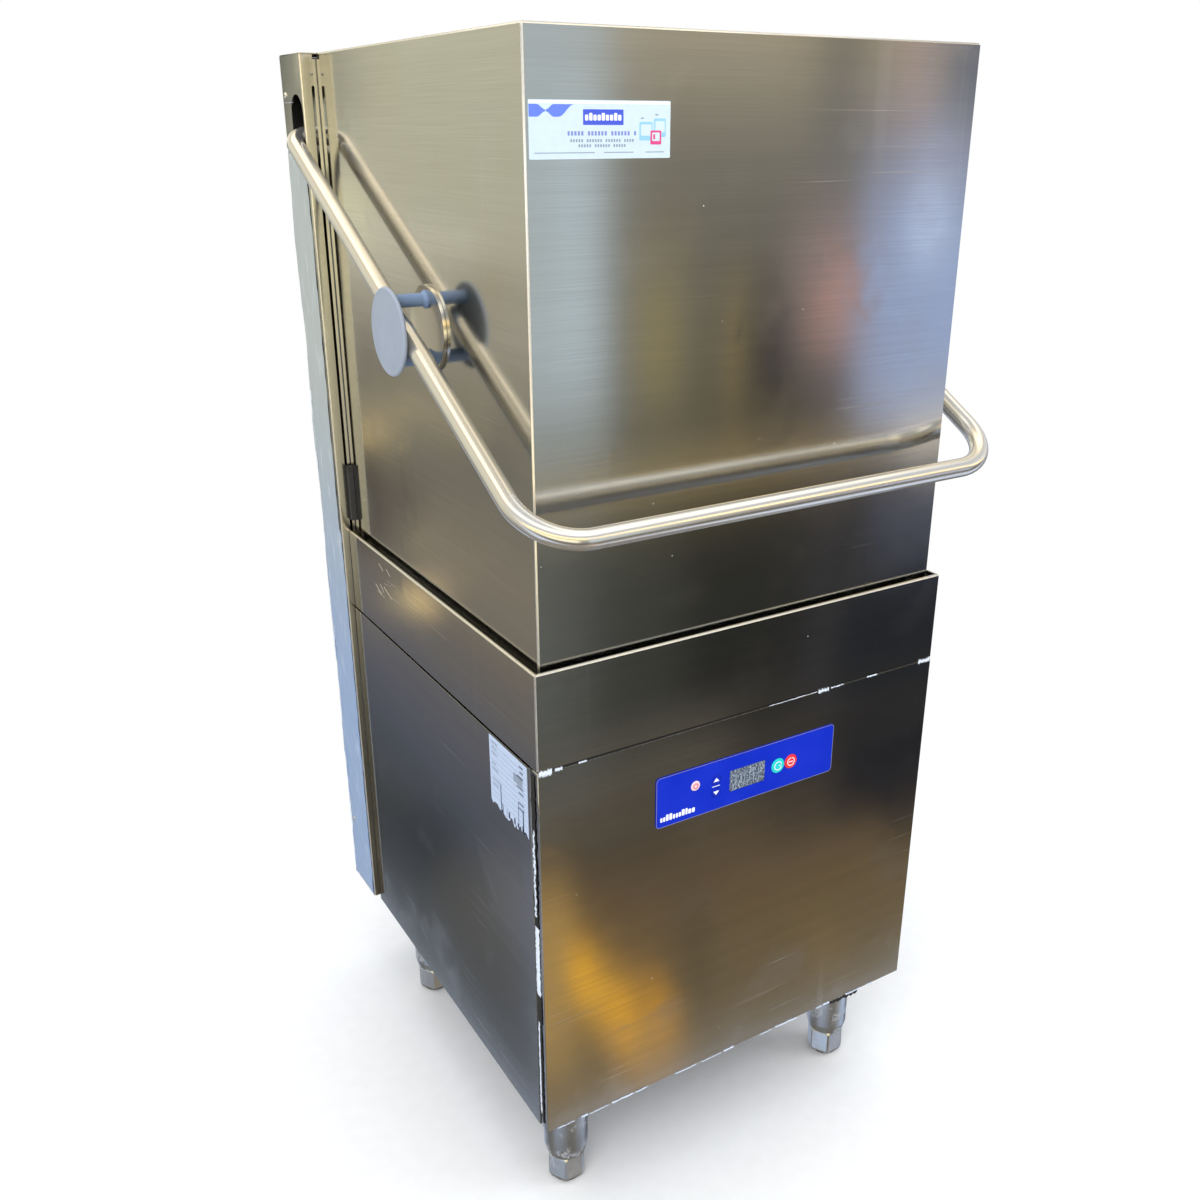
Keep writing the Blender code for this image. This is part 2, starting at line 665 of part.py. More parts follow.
wash_tank()
strainer("strainer_left", LEFT)
strainer("strainer_right", RIGHT)
rack_frame()
spray_arm("lower_wash_arm", WASH_ARM, LOWER_WASH)
spray_arm("lower_rinse_arm", RINSE_ARM, LOWER_RINSE)
spray_arm("upper_wash_arm", WASH_ARM, UPPER_WASH)
spray_arm("upper_rinse_arm", RINSE_ARM, UPPER_RINSE)
spindles()
riser_pipe()
overflow_pipe()
drain_fitting()
tank_heater()



# ---------------------------------------------------------------- machinery under the tank
def wash_pump():
    """A motor and its volute on one axis along X, on a foot that stands on the frame's rail."""
    outline = [
        (0, -0.105),
        (0.052, -0.105),
        (0.060, -0.095),
        (0.060, 0.045),
        (0.072, 0.047),
        (0.078, 0.060),
        (0.078, 0.085),
        (0.070, 0.100),
        (0.024, 0.104),
        (0.024, 0.125),
        (0, 0.125),
    ]
    pump = add("wash_pump", turned("wash_pump", outline), MOTOR_GREY, cabinet, PUMP, ALONG_X)
    low = FRAME_LOW + 0.004 + GAP
    foot = (PUMP.x - 0.07, PUMP.x + 0.03, PUMP.y - 0.04, PUMP.y + 0.04, low, PUMP.z - 0.050)
    boolean(pump, helper("pump_foot", blocks("pump_foot", [foot])), "UNION")


def pump_hose():
    """From the top of the volute to the underside of the tank's flange, below the riser."""
    depth = FRONT + 0.5935
    start = (PUMP.x + 0.0725, PUMP.y, PUMP.z + 0.0795)
    corners = [
        start,
        (start[0], start[1], PUMP.z + 0.175),
        (start[0], depth, PUMP.z + 0.175),
        (start[0], depth, 0.560),
        (0.0, depth, 0.560),
        (0.0, depth, DECK - 0.0025),
    ]
    line = rounded(corners, (0.040, 0.040, 0.040, 0.030), 5)
    add("pump_hose", tube("pump_hose", line, 0.0125, 3), HOSE_RUBBER, cabinet)


def boiler():
    """The rinse water heater: an upright shell with domed ends, and a port at its top."""
    low, high, radius, dome = FRAME_LOW + 0.004 + GAP, 0.480, 0.082, 0.022
    wall, port = 0.002, 0.009
    turns = [math.pi / 2 * i / 3 for i in range(4)]

    def shell(inset):
        """The domed outline, this far inside the outer face, from the bottom to the top."""
        r, bottom, top = radius - inset, low + inset, high - inset
        under = [(r * math.sin(a), bottom + dome * (1 - math.cos(a))) for a in turns]
        over = [(r * math.cos(a), top - dome * (1 - math.sin(a))) for a in turns[:-1]]
        return [*under, *over, (port, top)]

    outline = shell(0.0) + shell(wall)[::-1]
    add("boiler", turned("boiler", outline), INNER_STEEL, cabinet, (BOILER.x, BOILER.y, 0.0))


def inlet_valve():
    """The water inlet solenoid on the rear rail, with its hose thread towards the front."""
    radius = 0.018
    outline = [(0, -0.012), (radius, -0.012), (radius, 0.012), (0.012, 0.012), (0.012, 0.034), (0, 0.034)]
    x, y, z = 0.215, FRAME_REAR - FRAME_BAR / 2, FRAME_LOW + FRAME_BAR + radius + GAP
    valve_body = turned("inlet_valve", outline, 16)
    valve = add("inlet_valve", valve_body, HOUSING_BLACK, cabinet, (x, y, z), ALONG_MINUS_Y)
    coil = (x - 0.010, x + 0.010, y - 0.008, y + 0.008, z, z + 0.050)
    boolean(valve, helper("valve_coil", blocks("valve_coil", [coil])), "UNION")


wash_pump()
pump_hose()
boiler()
inlet_valve()

# ---------------------------------------------------------------- lift column
SLOT_INNER, SLOT_OUTER = 0.3085, 0.3125  # the slot that the hood's carriage runs in
SLOT_TOP = 1.485
COLUMN_SHEET = 0.0015
COLUMN_TOP = MACHINE_HEIGHT - 0.0017
HANDLE_HOLE = 0.026
HOLE_RISE = 0.026  # the hole is stretched upwards by this much
RAIL_TOP = 1.378


def column_shell():
    """The tall casing: back, sides and narrow front edges beside the hood. It opens to the cabinet below."""
    boxes = [(-HALF_COLUMN, HALF_COLUMN, REAR - COLUMN_SHEET, REAR, COLUMN_BOTTOM, COLUMN_TOP)]
    side = [
        (HALF_COLUMN - COLUMN_SHEET, HALF_COLUMN, COLUMN_FRONT, REAR, COLUMN_BOTTOM, COLUMN_TOP),
        (SLOT_OUTER, HALF_COLUMN, COLUMN_FRONT, COLUMN_FRONT + COLUMN_SHEET, COLUMN_BOTTOM, COLUMN_TOP),
    ]
    boxes += flipped(side, RIGHT) + flipped(side, LEFT)
    shell = add("column_shell", blocks("column_shell", boxes), COLUMN_STEEL, cabinet)
    steps = 8
    loop = []
    for start, lift in ((0.0, HOLE_RISE), (math.pi, 0.0)):
        for i in range(steps + 1):
            angle = start + math.pi * i / steps
            loop.append((HANDLE_HOLE * math.cos(angle), HANDLE_HOLE * math.sin(angle) + lift))
    shape = bmesh.new()
    ends = []
    for x in (-HALF_COLUMN - 0.02, HALF_COLUMN + 0.02):
        ends.append([shape.verts.new((x, PIVOT.y + y, PIVOT.z + z)) for y, z in loop])
        shape.faces.new(ends[-1])
    for i in range(len(loop)):
        j = (i + 1) % len(loop)
        shape.faces.new((ends[0][i], ends[0][j], ends[1][j], ends[1][i]))
    boolean(shell, helper("handle_holes", mesh_of("handle_holes", shape)), "DIFFERENCE")


def column_top_cap():
    low = COLUMN_TOP + GAP
    lip = low - 0.015
    inner = HALF_COLUMN - COLUMN_SHEET - GAP
    back = REAR - COLUMN_SHEET - GAP
    near = COLUMN_FRONT + COLUMN_SHEET + GAP
    boxes = [
        (-HALF_COLUMN, HALF_COLUMN, COLUMN_FRONT, REAR, low, MACHINE_HEIGHT),
        (-inner, inner, back - SHEET, back, lip, MACHINE_HEIGHT),
    ]
    side = [(inner - SHEET, inner, near, back, lip, MACHINE_HEIGHT)]
    boxes += flipped(side, RIGHT) + flipped(side, LEFT)
    add("column_top_cap", blocks("column_top_cap", boxes), COLUMN_STEEL, cabinet)


def chamber_back_panel():
    """The wash chamber's fixed back wall, with its two long edges folded back into the column."""
    low, high = DECK + GAP, COLUMN_TOP - 0.006
    front = COLUMN_FRONT
    boxes = [(-SLOT_INNER, SLOT_INNER, front, front + SHEET, low, high)]
    fold = [(SLOT_INNER - SHEET, SLOT_INNER, front, front + 0.015, low, high)]
    boxes += flipped(fold, RIGHT) + flipped(fold, LEFT)
    add("chamber_back_panel", blocks("chamber_back_panel", boxes), INNER_STEEL, cabinet)


RAIL_FRONT, RAIL_REAR = 0.640, 0.670


def guide_rail(name, side):
    """A channel fixed inside the column's side, in which the hood's glide runs."""
    base = HALF_COLUMN - COLUMN_SHEET - GAP
    boxes = [
        (base - 0.0015, base, FRONT + RAIL_FRONT, FRONT + RAIL_REAR, 0.856, RAIL_TOP),
        (SLOT_OUTER, base, FRONT + RAIL_FRONT, FRONT + RAIL_FRONT + 0.0015, 0.856, RAIL_TOP),
        (SLOT_OUTER, base, FRONT + RAIL_REAR - 0.0015, FRONT + RAIL_REAR, 0.856, RAIL_TOP),
    ]
    add(name, blocks(name, flipped(boxes, side)), FRAME_STEEL, cabinet)


LEVER_X = 0.200
LEVER_LENGTH = 0.040
LEVER_ANGLE = HANDLE_SWING / 2  # the lever points this far above level when the hood is down
SHAFT_RADIUS = 0.010
BEARING_X = 0.262
EYE = PIVOT + Vector((0.0, LEVER_LENGTH * math.cos(LEVER_ANGLE), LEVER_LENGTH * math.sin(LEVER_ANGLE)))
ANCHOR_HEIGHT = 0.840
SPRING_COIL = 0.0120
SPRING_WIRE = 0.0020
SPRING_TURNS = 12


def shaft_bearing(name, side):
    """A plain bearing block for the cross shaft, fixed to the column's back."""
    x = side * BEARING_X
    back = REAR - COLUMN_SHEET - GAP
    box = (x - 0.005, x + 0.005, PIVOT.y - 0.018, back, PIVOT.z - 0.018, PIVOT.z + 0.018)
    block = add(name, blocks(name, [box]), GLIDE_PLASTIC, cabinet)
    hole = rod("hole_" + name, SHAFT_RADIUS + GAP, -0.02, 0.02)
    boolean(block, helper("hole_" + name, hole, (x, PIVOT.y, PIVOT.z), ALONG_X), "DIFFERENCE")


def spring_anchor():
    """An angle across the column that both balance springs hook on to."""
    back = REAR - COLUMN_SHEET - GAP
    low = ANCHOR_HEIGHT - 0.022
    boxes = [
        (-0.230, 0.230, back - 0.002, back, low - 0.030, low),
        (-0.230, 0.230, EYE.y - 0.012, back, low - 0.002, low),
    ]
    add("spring_anchor", blocks("spring_anchor", boxes), FRAME_STEEL, cabinet)


def balance_spring(name, side):
    """An extension spring between the shaft's lever and the anchor, with a straight end at each side."""
    low, high = ANCHOR_HEIGHT - 0.0215, EYE.z - 0.0140
    coil_low, coil_high = 0.930, 1.300
    per_turn = 6
    count = SPRING_TURNS * per_turn
    points = [(0.0, 0.0, low), (0.0, 0.0, coil_low - 0.012)]
    for i in range(count + 1):
        angle = 2 * math.pi * i / per_turn
        height = coil_low + (coil_high - coil_low) * i / count
        points.append((SPRING_COIL * math.cos(angle), SPRING_COIL * math.sin(angle), height))
    points += [(0.0, 0.0, coil_high + 0.012), (0.0, 0.0, high)]
    place = (side * LEVER_X, EYE.y, 0.0)
    add(name, tube(name, points, SPRING_WIRE, 1), SPRING_STEEL, cabinet, place)


column_shell()
column_top_cap()
chamber_back_panel()
guide_rail("guide_rail_left", LEFT)
guide_rail("guide_rail_right", RIGHT)
shaft_bearing("shaft_bearing_left", LEFT)
shaft_bearing("shaft_bearing_right", RIGHT)
spring_anchor()
balance_spring("balance_spring_left", LEFT)
balance_spring("balance_spring_right", RIGHT)


# ---------------------------------------------------------------- handle and its shaft
def handle_tube():
    """One bent tube: in at the column's left side, down the left arm, across the front and back up."""
    bar_y = FRONT - BAR_REACH
    inner = 0.300
    corners = [
        (-inner, PIVOT.y, PIVOT.z),
        (-ARM_OFFSET, PIVOT.y, PIVOT.z),
        (-ARM_OFFSET, bar_y, BAR_HEIGHT),
        (ARM_OFFSET, bar_y, BAR_HEIGHT),
        (ARM_OFFSET, PIVOT.y, PIVOT.z),
        (inner, PIVOT.y, PIVOT.z),
    ]
    points = [p - PIVOT for p in rounded(corners, (0.030, 0.070, 0.070, 0.030), 9)]
    add("handle_tube", tube("handle_tube", points, TUBE_RADIUS, 6), TUBE_STEEL, handle, PIVOT)


def balance_lever(name, side):
    """A forged lever clamped on the cross shaft, with the spring's eye at its end."""
    outline = []
    steps = 6
    for centre, radius, start in ((0.0, 0.0165, math.pi / 2), (LEVER_LENGTH, 0.0080, -math.pi / 2)):
        for i in range(steps + 1):
            angle = start + math.pi * i / steps
            outline.append((centre + radius * math.cos(angle), radius * math.sin(angle)))
    shape = bmesh.new()
    face = shape.faces.new([shape.verts.new((-0.004, y, z)) for y, z in outline])
    sides = bmesh.ops.extrude_face_region(shape, geom=[face])
    moved = [v for v in sides["geom"] if isinstance(v, bmesh.types.BMVert)]
    bmesh.ops.translate(shape, verts=moved, vec=(0.008, 0, 0))
    place = PIVOT + Vector((side * LEVER_X, 0.0, 0.0))
    lever = add(name, mesh_of(name, shape), FRAME_STEEL, handle, place, (LEVER_ANGLE, 0.0, 0.0))
    hole = rod("hole_" + name, SHAFT_RADIUS + GAP, -0.02, 0.02)
    boolean(lever, helper("hole_" + name, hole, place, ALONG_X), "DIFFERENCE")


handle_tube()
half_shaft = 0.300 - GAP
shaft = rod("cross_shaft", SHAFT_RADIUS, -half_shaft, half_shaft)
add("cross_shaft", shaft, FRAME_STEEL, handle, PIVOT, ALONG_X)
balance_lever("balance_lever_left", LEFT)
balance_lever("balance_lever_right", RIGHT)

# ---------------------------------------------------------------- hood
GUIDE_DEPTH = 0.272
GUIDE_HEIGHT = 1.1960
GUIDE_RADIUS = 0.0520
POST_RADIUS = 0.0080
POST_OFFSET = 0.0345
CAP_INNER, CAP_OUTER = 0.3525, 0.3580


def hood_shell():
    """Front, sides and top of the hood, with folded lower and rear edges. Its back and bottom are open."""
    rear = COLUMN_FRONT - 0.0015
    top = MACHINE_HEIGHT
    hem, fold = 0.006, 0.014
    boxes = [
        (-HALF_HOOD, HALF_HOOD, HOOD_FRONT, HOOD_FRONT + HOOD_SHEET, HOOD_BOTTOM, top),
        (-HALF_HOOD, HALF_HOOD, HOOD_FRONT, rear, top - HOOD_SHEET, top),
        (-HALF_HOOD, HALF_HOOD, HOOD_FRONT, HOOD_FRONT + hem, HOOD_BOTTOM, HOOD_BOTTOM + HOOD_SHEET),
        (-HALF_HOOD, HALF_HOOD, rear - HOOD_SHEET, rear, top - fold, top),
    ]
    side = [
        (HALF_HOOD - HOOD_SHEET, HALF_HOOD, HOOD_FRONT, rear, HOOD_BOTTOM, top),
        (HALF_HOOD - hem, HALF_HOOD, HOOD_FRONT, rear, HOOD_BOTTOM, HOOD_BOTTOM + HOOD_SHEET),
        (HALF_HOOD - fold, HALF_HOOD, rear - HOOD_SHEET, rear, HOOD_BOTTOM, top),
    ]
    boxes += flipped(side, RIGHT) + flipped(side, LEFT)
    add("hood_shell", blocks("hood_shell", boxes), STEEL, hood)


def carriage(name, side):
    """The hood's bracket: a web through the column's slot, ending in the block that runs in the rail."""
    low, high = 0.866, 0.950
    web = ((SLOT_INNER + SLOT_OUTER) / 2 - 0.001, (SLOT_INNER + SLOT_OUTER) / 2 + 0.001)
    boxes = [
        (HALF_HOOD + GAP, web[1], FRONT + 0.5995, FRONT + 0.6065, low, high),
        (*web, FRONT + 0.5995, FRONT + RAIL_REAR - 0.010, low, high),
        (0.2990, 0.3217, FRONT + RAIL_FRONT + 0.0025, FRONT + RAIL_REAR - 0.0025, low, high),
    ]
    add(name, blocks(name, flipped(boxes, side)), GLIDE_PLASTIC, hood)


def handle_guide(word, side):
    """The disc and two posts that the handle's arm slides between, on a steel base on the hood's side."""
    place = Vector((0.0, FRONT + GUIDE_DEPTH, GUIDE_HEIGHT))
    turn = ALONG_X if side == RIGHT else ALONG_MINUS_X
    low = HALF_HOOD + GAP
    face = low + 0.0042
    bevel = GUIDE_RADIUS - 0.0012
    base = [(0, low), (GUIDE_RADIUS, low), (GUIDE_RADIUS, low + 0.0030), (bevel, face), (0, face)]
    add("guide_base_" + word, turned("guide_base_" + word, base, 32), TUBE_STEEL, hood, place, turn)
    cap = [
        (0, CAP_INNER),
        (GUIDE_RADIUS - 0.0015, CAP_INNER),
        (GUIDE_RADIUS, CAP_INNER + 0.0015),
        (GUIDE_RADIUS, CAP_OUTER - 0.0015),
        (GUIDE_RADIUS - 0.0015, CAP_OUTER),
        (0, CAP_OUTER),
    ]
    disc = add("guide_cap_" + word, turned("guide_cap_" + word, cap, 32), GUIDE_PLASTIC, hood, place, turn)
    for level, offset in (("upper", POST_OFFSET), ("lower", -POST_OFFSET)):
        name = f"guide_post_{level}_{word}"
        post = rod(name, POST_RADIUS, face + GAP, CAP_INNER + 0.002, 16)
        boolean(disc, helper(name, post, place + Vector((0, 0, offset)), turn), "UNION")


hood_shell()
carriage("hood_carriage_left", LEFT)
carriage("hood_carriage_right", RIGHT)
handle_guide("left", LEFT)
handle_guide("right", RIGHT)
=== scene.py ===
"""Looks of a hood-type commercial dishwasher round its CAD model. Metres, +Z up, front towards -Y."""

import math
import random
import bmesh
import bpy
from mathutils import Matrix, Vector


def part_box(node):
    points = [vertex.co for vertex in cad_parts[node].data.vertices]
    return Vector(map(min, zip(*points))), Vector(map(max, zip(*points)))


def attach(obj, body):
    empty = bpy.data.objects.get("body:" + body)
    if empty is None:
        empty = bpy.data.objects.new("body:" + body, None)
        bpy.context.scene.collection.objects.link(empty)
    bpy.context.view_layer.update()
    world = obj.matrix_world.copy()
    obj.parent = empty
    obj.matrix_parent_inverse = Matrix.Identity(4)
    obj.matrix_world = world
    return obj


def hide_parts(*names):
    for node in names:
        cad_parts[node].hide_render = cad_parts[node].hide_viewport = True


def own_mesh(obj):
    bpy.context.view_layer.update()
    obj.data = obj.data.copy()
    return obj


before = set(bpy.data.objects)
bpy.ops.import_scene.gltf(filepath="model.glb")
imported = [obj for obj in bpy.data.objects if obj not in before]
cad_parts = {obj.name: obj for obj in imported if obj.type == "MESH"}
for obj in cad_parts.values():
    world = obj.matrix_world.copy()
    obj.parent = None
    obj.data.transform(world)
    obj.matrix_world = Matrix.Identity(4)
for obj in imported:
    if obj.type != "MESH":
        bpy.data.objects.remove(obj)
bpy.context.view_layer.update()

# ---------------------------------------------------------------- places, all read from the frame
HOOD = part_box("hood_shell")
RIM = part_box("rim_band")
FRONT_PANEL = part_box("front_panel")
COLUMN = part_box("column_shell")
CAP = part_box("column_top_cap")
BACK_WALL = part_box("chamber_back_panel")
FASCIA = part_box("control_fascia")
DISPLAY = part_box("display_window")
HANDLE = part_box("handle_tube")
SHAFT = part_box("cross_shaft")

FRONT = RIM[0].y
HALF_CABINET = RIM[1].x
HALF_COLUMN = COLUMN[1].x
HALF_HOOD = HOOD[1].x
COLUMN_FRONT = COLUMN[0].y
REAR = COLUMN[1].y
PIVOT = (SHAFT[0] + SHAFT[1]) / 2
TUBE_RADIUS = 0.012
ARM_X = HANDLE[1].x - TUBE_RADIUS
BAR = Vector((0.0, HANDLE[0].y + TUBE_RADIUS, HANDLE[0].z + TUBE_RADIUS))
SHEET = 0.0012
HOOD_SHEET = 0.0015
GAP = 0.0003
LEFT, RIGHT = -1, 1
SIDES = (("left", LEFT), ("right", RIGHT))

CAMERA_PLACE = Vector((-0.8628, -1.3904, 1.4181))
CAMERA_TILT = math.radians(68.22)
CAMERA_TURN = math.radians(-31.41)
CAMERA_LENS = 35.56
CAMERA_SHIFT = (-0.0148, 0.0022)


# ---------------------------------------------------------------- node helpers
class Shader:
    """Adds nodes to one material's or world's tree with less writing."""

    def __init__(self, tree):
        self.tree = tree

    def node(self, kind, inputs=None, **settings):
        made = self.tree.nodes.new(kind)
        for key, value in settings.items():
            setattr(made, key, value)
        for key, value in (inputs or {}).items():
            self.put(made.inputs[key], value)
        return made

    def put(self, socket, value):
        """Links a socket to another one, or gives it a constant."""
        if isinstance(value, bpy.types.NodeSocket):
            self.tree.links.new(value, socket)
        else:
            socket.default_value = value

    def math(self, operation, a, b=0.0, clamp=False):
        return self.node("ShaderNodeMath", {0: a, 1: b}, operation=operation, use_clamp=clamp).outputs[0]

    def times(self, a, b, clamp=False):
        return self.math("MULTIPLY", a, b, clamp)

    def plus(self, a, b):
        return self.math("ADD", a, b)

    def minus(self, a, b):
        return self.math("SUBTRACT", a, b)

    def vector(self, operation, a, b=(0.0, 0.0, 0.0)):
        made = self.node("ShaderNodeVectorMath", {0: a, 1: b}, operation=operation)
        return made.outputs["Value" if operation == "LENGTH" else "Vector"]

    def ramp(self, value, low, high):
        """A smooth step from 0 to 1 as value goes from low to high, level beyond both."""
        keys = {"Value": value, "From Min": low, "From Max": high}
        made = self.node("ShaderNodeMapRange", keys, interpolation_type="SMOOTHSTEP", clamp=False)
        return made.outputs["Result"]

    def mix(self, factor, a, b):
        made = self.node("ShaderNodeMix", data_type="RGBA")
        for socket, value in zip((made.inputs[0], made.inputs[6], made.inputs[7]), (factor, a, b)):
            self.put(socket, value)
        return made.outputs[2]

    def noise(self, place, scale, detail, stretch=(1.0, 1.0, 1.0), turn=(0.0, 0.0, 0.0)):
        at = self.node("ShaderNodeMapping", {"Vector": place, "Scale": stretch, "Rotation": turn}).outputs[0]
        keys = {"Vector": at, "Scale": scale, "Detail": detail}
        return self.node("ShaderNodeTexNoise", keys).outputs["Fac"]

    def colours(self, value, stops):
        """A colour ramp through (position, colour) stops."""
        made = self.node("ShaderNodeValToRGB", {"Fac": value})
        points = made.color_ramp.elements
        while len(points) < len(stops):
            points.new(1.0)
        for point, (position, colour) in zip(points, stops):
            point.position = position
            point.color = (*colour, 1.0)
        return made.outputs["Color"]

    def bump(self, height, strength, distance, normal=None):
        inputs = {"Height": height, "Strength": strength, "Distance": distance}
        if normal is not None:
            inputs["Normal"] = normal
        return self.node("ShaderNodeBump", inputs).outputs["Normal"]


def rgb(colour):
    """A colour with its alpha, as the colour sockets want it."""
    return (*colour, 1.0)


def shade(colour, amount):
    """The colour made darker by an amount below 1."""
    return rgb([amount * channel for channel in colour])


def new_material(name):
    """A material, its shader helper, its surface's sockets, and the place on the piece."""
    made = bpy.data.materials.new(name)
    made.use_nodes = True
    made.node_tree.nodes.clear()
    shader = Shader(made.node_tree)
    output = shader.node("ShaderNodeOutputMaterial")
    surface = shader.node("ShaderNodeBsdfPrincipled")
    shader.put(output.inputs["Surface"], surface.outputs["BSDF"])
    place = shader.node("ShaderNodeTexCoord").outputs["Object"]
    return made, shader, surface.inputs, place


def fine_scratches(s, place):
    """Long thin scratches at three tilts, gathered in a few places."""
    scratch = 0.0
    for turn, threshold in ((0.5, 0.745), (-0.9, 0.755), (1.25, 0.75)):
        line = s.noise(place, 1.0, 1.0, (3.0, 3.0, 420.0), (turn, 0.35 * turn, 0.0))
        scratch = s.plus(scratch, s.ramp(line, threshold, threshold + 0.03))
    return s.times(scratch, s.ramp(s.noise(place, 5.0, 2.0), 0.50, 0.68), clamp=True)


def pale_specks(s, place, strength):
    """Small round specks in one cell out of five."""
    cells = s.node("ShaderNodeTexVoronoi", {"Vector": place, "Scale": 34.0})
    chance = s.node("ShaderNodeSeparateColor", {"Color": cells.outputs["Color"]}).outputs[0]
    chosen = s.math("GREATER_THAN", chance, 0.80)
    specks = s.times(s.ramp(cells.outputs["Distance"], 0.030, 0.018), chosen)
    return s.times(specks, strength)


def brushed_steel(name, base, roughness, wear, grain=1.0, anisotropy=0.6):
    """Sheet with a level brushed grain, smudges, faint scratches and a few pale specks."""
    made, s, sockets, place = new_material(name)
    streaks = s.noise(place, 1.0, 3.0, (7.0, 7.0, 1500.0))
    broad = s.noise(place, 1.0, 2.0, (1.2, 1.2, 90.0))
    cloud = s.noise(place, 3.2, 4.0)
    smudge = s.ramp(s.noise(place, 11.0, 6.0), 0.52, 0.72)
    fine = s.times(s.ramp(streaks, 0.3, 0.7), 0.30 * grain)
    colour = s.mix(fine, rgb(base), shade(base, 0.72))
    colour = s.mix(s.times(s.ramp(broad, 0.35, 0.65), 0.08 * grain), colour, shade(base, 0.6))
    warm = [base[0] * 0.86, base[1] * 0.80, base[2] * 0.70]
    colour = s.mix(s.times(s.ramp(cloud, 0.42, 0.66), 0.25 * wear), colour, rgb(warm))
    colour = s.mix(s.times(smudge, 0.03 * wear), colour, rgb((0.72, 0.72, 0.70)))
    scratch = fine_scratches(s, place)
    colour = s.mix(s.times(scratch, 0.45 * wear), colour, rgb((0.85, 0.84, 0.80)))
    specks = pale_specks(s, place, min(1.0, 0.9 * wear))
    colour = s.mix(specks, colour, rgb((0.9, 0.9, 0.88)))
    runs = s.ramp(s.noise(place, 1.0, 2.0, (46.0, 46.0, 1.1)), 0.62, 0.74)
    runs = s.times(runs, s.ramp(s.noise(place, 2.3, 2.0), 0.45, 0.62))
    colour = s.mix(s.times(runs, 0.13 * wear), colour, rgb((0.78, 0.77, 0.72)))
    s.put(sockets["Base Color"], colour)
    s.put(sockets["Metallic"], s.minus(1.0, specks))
    in_runs = s.times(runs, 0.03 * wear)
    rough = s.plus(in_runs, s.times(s.ramp(streaks, 0.3, 0.7), 0.02 * grain))
    rough = s.plus(rough, roughness)
    rough = s.plus(rough, s.times(smudge, 0.03 * wear))
    s.put(sockets["Roughness"], s.plus(rough, s.times(scratch, 0.15 * wear)))
    sockets["Anisotropic"].default_value = anisotropy
    sockets["Anisotropic Rotation"].default_value = 0.25
    s.put(sockets["Tangent"], s.node("ShaderNodeTangent", direction_type="RADIAL", axis="Z").outputs[0])
    swell = s.bump(s.noise(place, 2.6, 1.0), 0.10, 0.008)
    dents = s.bump(s.ramp(s.noise(place, 9.0, 2.0), 0.62, 0.80), 0.06 * wear, 0.0015, swell)
    s.put(sockets["Normal"], s.bump(s.minus(streaks, scratch), 0.02 * grain, 0.0003, dents))
    return made


def plain_metal(name, base, roughness, mottling, corrosion=0.0, metallic=1.0):
    """Turned or polished metal, with optional pale corrosion."""
    made, s, sockets, place = new_material(name)
    cloud = s.ramp(s.noise(place, 14.0, 5.0), 0.35, 0.70)
    colour = s.mix(s.times(cloud, mottling), rgb(base), shade(base, 0.68))
    fine = s.noise(place, 260.0, 3.0)
    if corrosion:
        patches = s.times(s.ramp(s.noise(place, 42.0, 8.0), 0.50, 0.60), s.ramp(fine, 0.38, 0.55))
        patches = s.times(patches, corrosion, clamp=True)
        colour = s.mix(patches, colour, rgb((0.62, 0.66, 0.74)))
        rust = s.times(s.ramp(s.noise(place, 63.0, 3.0), 0.68, 0.74), corrosion)
        colour = s.mix(rust, colour, rgb((0.28, 0.10, 0.04)))
        s.put(sockets["Metallic"], s.minus(1.0, s.times(patches, 0.6)))
        s.put(sockets["Roughness"], s.plus(roughness, s.times(patches, 0.35)))
        s.put(sockets["Normal"], s.bump(s.plus(fine, patches), 0.35, 0.0006))
    else:
        sockets["Metallic"].default_value = metallic
        s.put(sockets["Roughness"], s.plus(roughness, s.times(cloud, 0.07)))
        s.put(sockets["Normal"], s.bump(fine, 0.05, 0.0003))
    s.put(sockets["Base Color"], colour)
    return made


def moulded_plastic(name, base, roughness, texture, dirt, gloss=0.5):
    """Moulded plastic with a fine skin, some grime and slight fading."""
    made, s, sockets, place = new_material(name)
    fade = s.ramp(s.noise(place, 18.0, 4.0), 0.35, 0.70)
    grime = s.ramp(s.noise(place, 75.0, 6.0), 0.56, 0.74)
    colour = s.mix(s.times(fade, 0.35), rgb(base), rgb([min(1.0, 1.18 * c + 0.01) for c in base]))
    colour = s.mix(s.times(grime, dirt), colour, shade(base, 0.35))
    s.put(sockets["Base Color"], colour)
    s.put(sockets["Roughness"], s.plus(roughness, s.times(grime, 0.12)))
    s.put(sockets["Normal"], s.bump(s.noise(place, 900.0, 2.0), texture, 0.0002))
    sockets["Specular IOR Level"].default_value = gloss
    return made


def torn_film(name, pale, deep, roughness=0.32):
    """Pale blue protective film: creased, and deeper in colour towards its lower end."""
    made, s, sockets, place = new_material(name)
    height = s.node("ShaderNodeSeparateXYZ", {"Vector": place}).outputs["Z"]
    colour = s.mix(s.ramp(height, 1.15, 0.50), rgb(pale), rgb(deep))
    creases = s.noise(place, 1.0, 5.0, (150.0, 150.0, 14.0))
    colour = s.mix(s.times(s.ramp(creases, 0.55, 0.72), 0.35), colour, rgb((0.80, 0.86, 0.90)))
    marks = s.ramp(s.noise(place, 1.0, 4.0, (260.0, 260.0, 30.0)), 0.70, 0.76)
    colour = s.mix(s.times(marks, 0.5), colour, rgb((0.12, 0.16, 0.30)))
    s.put(sockets["Base Color"], colour)
    s.put(sockets["Roughness"], s.plus(roughness, s.times(creases, 0.25)))
    s.put(sockets["Normal"], s.bump(creases, 0.35, 0.0012))
    sockets["Sheen Weight"].default_value = 0.15
    return made


